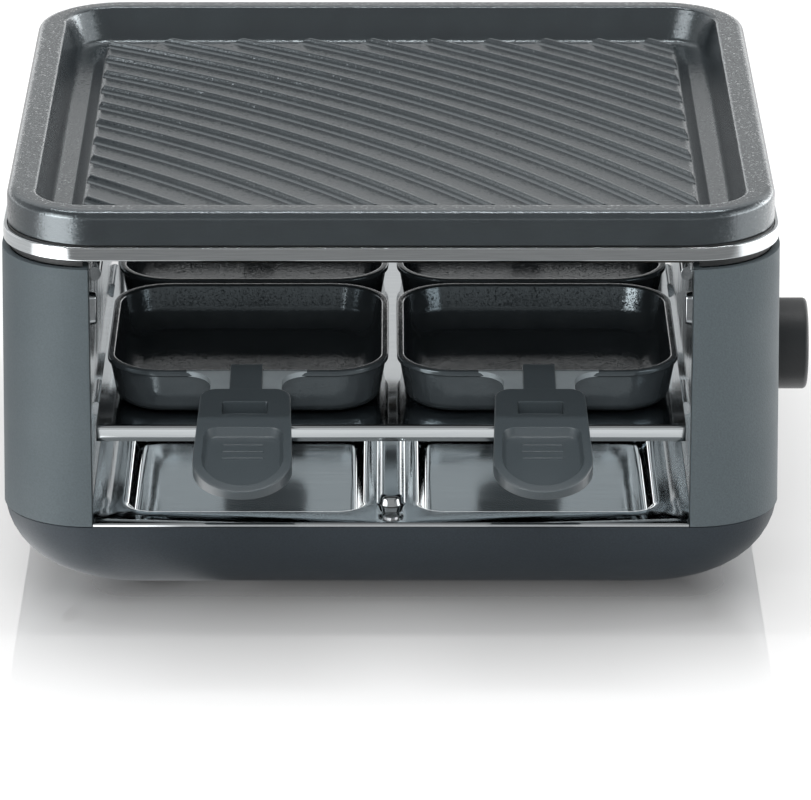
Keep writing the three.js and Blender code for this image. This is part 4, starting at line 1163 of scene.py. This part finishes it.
def makeFloor():
    bm = bmesh.new()
    bmesh.ops.create_grid(bm, x_segments=1, y_segments=1, size=studio["floorSize"])
    floor = addObject("floor", newMesh(bm, "floor"))
    # polished acrylic: pale, shadowed and faintly mirroring beside the object
    material, add, spot = newMaterial("polishedWhiteAcrylic")
    shader = add("BsdfPrincipled", {
        "Base Color": linear(studio["floor"]), "Roughness": studio["floorRough"],
    })
    path = add("LightPath").outputs
    # the camera sees it lifted towards white
    lifted = add("Math", {0: path["Is Camera Ray"], 1: studio["glow"]}, operation="MULTIPLY")
    glow = add("Emission", {"Strength": lifted})
    seen = add("AddShader", {0: shader, 1: glow})
    # gloss low on the object sees the pale floor close by, and gloss higher up the dim front
    close = add("MapRange", {
        "Value": add("SeparateXYZ", {"Vector": spot}).outputs["Y"],
        "From Min": studio["closeFrom"], "From Max": studio["closeTo"],
        "To Max": studio["close"],
    }, interpolation_type="SMOOTHSTEP")
    brighter = add("Math", {0: surroundStrength(add, spot), 1: close}, operation="MAXIMUM")
    mirrored = add("Emission", {"Strength": brighter})
    white = add("MixShader", {0: path["Is Glossy Ray"], 1: seen, 2: mirrored})
    # how far a spot lies outside the rectangle under the object
    apart = add("VectorMath", {0: spot}, operation="ABSOLUTE")
    half = (mirror["halfX"] * mm, mirror["halfY"] * mm, 0)
    away = add("VectorMath", {0: apart, 1: half}, operation="SUBTRACT")
    outside = add("VectorMath", {0: away, 1: (0, 0, 0)}, operation="MAXIMUM")
    distance = add("VectorMath", {0: outside}, operation="LENGTH").outputs["Value"]
    beside = add("MapRange", {
        "Value": distance, "From Max": mirror["reach"] * mm, "To Min": 1.0, "To Max": 0.0,
    })
    curved = add("Math", {0: beside, 1: mirror["power"]}, operation="POWER")
    share = add("Math", {0: curved, 1: mirror["most"]}, operation="MULTIPLY")
    gloss = add("BsdfGlossy", {"Roughness": mirror["rough"]})
    both = add("MixShader", {0: share, 1: white, 2: gloss})
    add("OutputMaterial", {"Surface": both})
    floor.data.materials.append(material)


def makeWorld():
    # white where it is seen; what gloss reflects of it falls off to the front, as in a studio
    world = bpy.data.worlds.new("studio")
    world.use_nodes = True
    tree = world.node_tree
    tree.nodes.clear()
    add = partial(addNode, tree)
    path = add("LightPath").outputs
    way = add("TexCoord").outputs["Generated"]
    apart = add("SeparateXYZ", {"Vector": way}).outputs
    fall = add("MapRange", {
        "Value": apart["Y"], "From Min": studio["fallFrom"], "From Max": studio["fallTo"],
        "To Min": studio["front"], "To Max": studio["back"],
    }, interpolation_type="SMOOTHSTEP")
    lift = add("MapRange", {
        "Value": apart["Z"], "From Min": studio["liftFrom"], "From Max": studio["liftTo"],
    }, interpolation_type="SMOOTHSTEP")
    low = add("MapRange", {
        "Value": apart["Z"], "From Min": studio["lowFrom"], "From Max": studio["lowTo"],
        "To Min": studio["nearFloor"], "To Max": 1.0,
    })
    around = add("Math", {0: surroundStrength(add, way), 1: low}, operation="MULTIPLY")
    mirrored = add("Mix", {"Factor": lift, 2: around, 3: fall}, data_type="FLOAT")
    inGloss = {"Factor": path["Is Glossy Ray"], 2: studio["world"], 3: mirrored}
    gloss = add("Mix", inGloss, data_type="FLOAT")
    direct = {0: path["Is Camera Ray"], 1: path["Is Transmission Ray"]}
    seen = add("Math", direct, operation="MAXIMUM")
    strength = add("Math", {0: seen, 1: gloss}, operation="MAXIMUM")
    back = add("Background", {"Color": (1, 1, 1, 1), "Strength": strength})
    add("OutputWorld", {"Surface": back})
    bpy.context.scene.world = world


# places and sizes in metres; gloss doesn't see a lamp that isn't mirrored
lamps = {
    "overheadPanel": {"at": (0.0, 1.0, 1.5), "aim": (0, 0, 0.1), "size": (3.0, 1.6), "watts": 9},
    "overheadStrip": {"at": (0.0, 0.0, 1.5), "aim": (0, 0, 0.1), "size": (1.6, 0.06), "watts": 9},
    "frontPanel": {
        "at": (-0.25, -2.6, 0.9), "aim": (0, 0, 0.07), "size": (1.6, 1.2), "watts": 20,
        "mirrored": False,
    },
    "highPanel": {
        "at": (0.0, -1.5, 1.7), "aim": (0, -0.1, 0.07), "size": (1.6, 0.9), "watts": 22,
        "mirrored": False,
    },
    "rightLamp": {"at": (1.5, 0.7, 0.5), "aim": (0, 0, 0.1), "size": (0.35, 0.5), "watts": 3.5},
}


def addLamp(name, look):
    lamp = bpy.data.lights.new(name, "AREA")
    lamp.shape = "RECTANGLE"
    lamp.size, lamp.size_y = look["size"]
    lamp.energy = look["watts"]
    holder = addObject(name, lamp)
    holder.location = look["at"]
    way = Vector(look["aim"]) - Vector(look["at"])
    holder.rotation_euler = way.to_track_quat("-Z", "Y").to_euler()
    holder.visible_camera = False
    holder.visible_glossy = look.get("mirrored", True)


# fitted to the photo: a long lens, about twenty degrees above level; millimetres for the lens,
# metres for the place, degrees for the tilt
camera = {
    "lens": 264.65, "sensor": 36, "shiftX": 0.01788, "y": -1.9129, "z": 0.7240,
    "tilt": 70.12, "clipEnd": 50,
}


def addCamera():
    lens = bpy.data.cameras.new("camera")
    lens.lens = camera["lens"]
    lens.sensor_width = camera["sensor"]
    lens.sensor_fit = "HORIZONTAL"
    lens.shift_x = camera["shiftX"]
    lens.clip_end = camera["clipEnd"]
    holder = addObject("camera", lens)
    holder.location = (rowShift * mm, camera["y"], camera["z"])
    holder.rotation_euler = (math.radians(camera["tilt"]), 0, 0)
    bpy.context.scene.camera = holder


makeFloor()
makeWorld()
for name, look in lamps.items():
    addLamp(name, look)
addCamera()
bpy.context.scene.view_settings.view_transform = "Standard"
print("studio made")
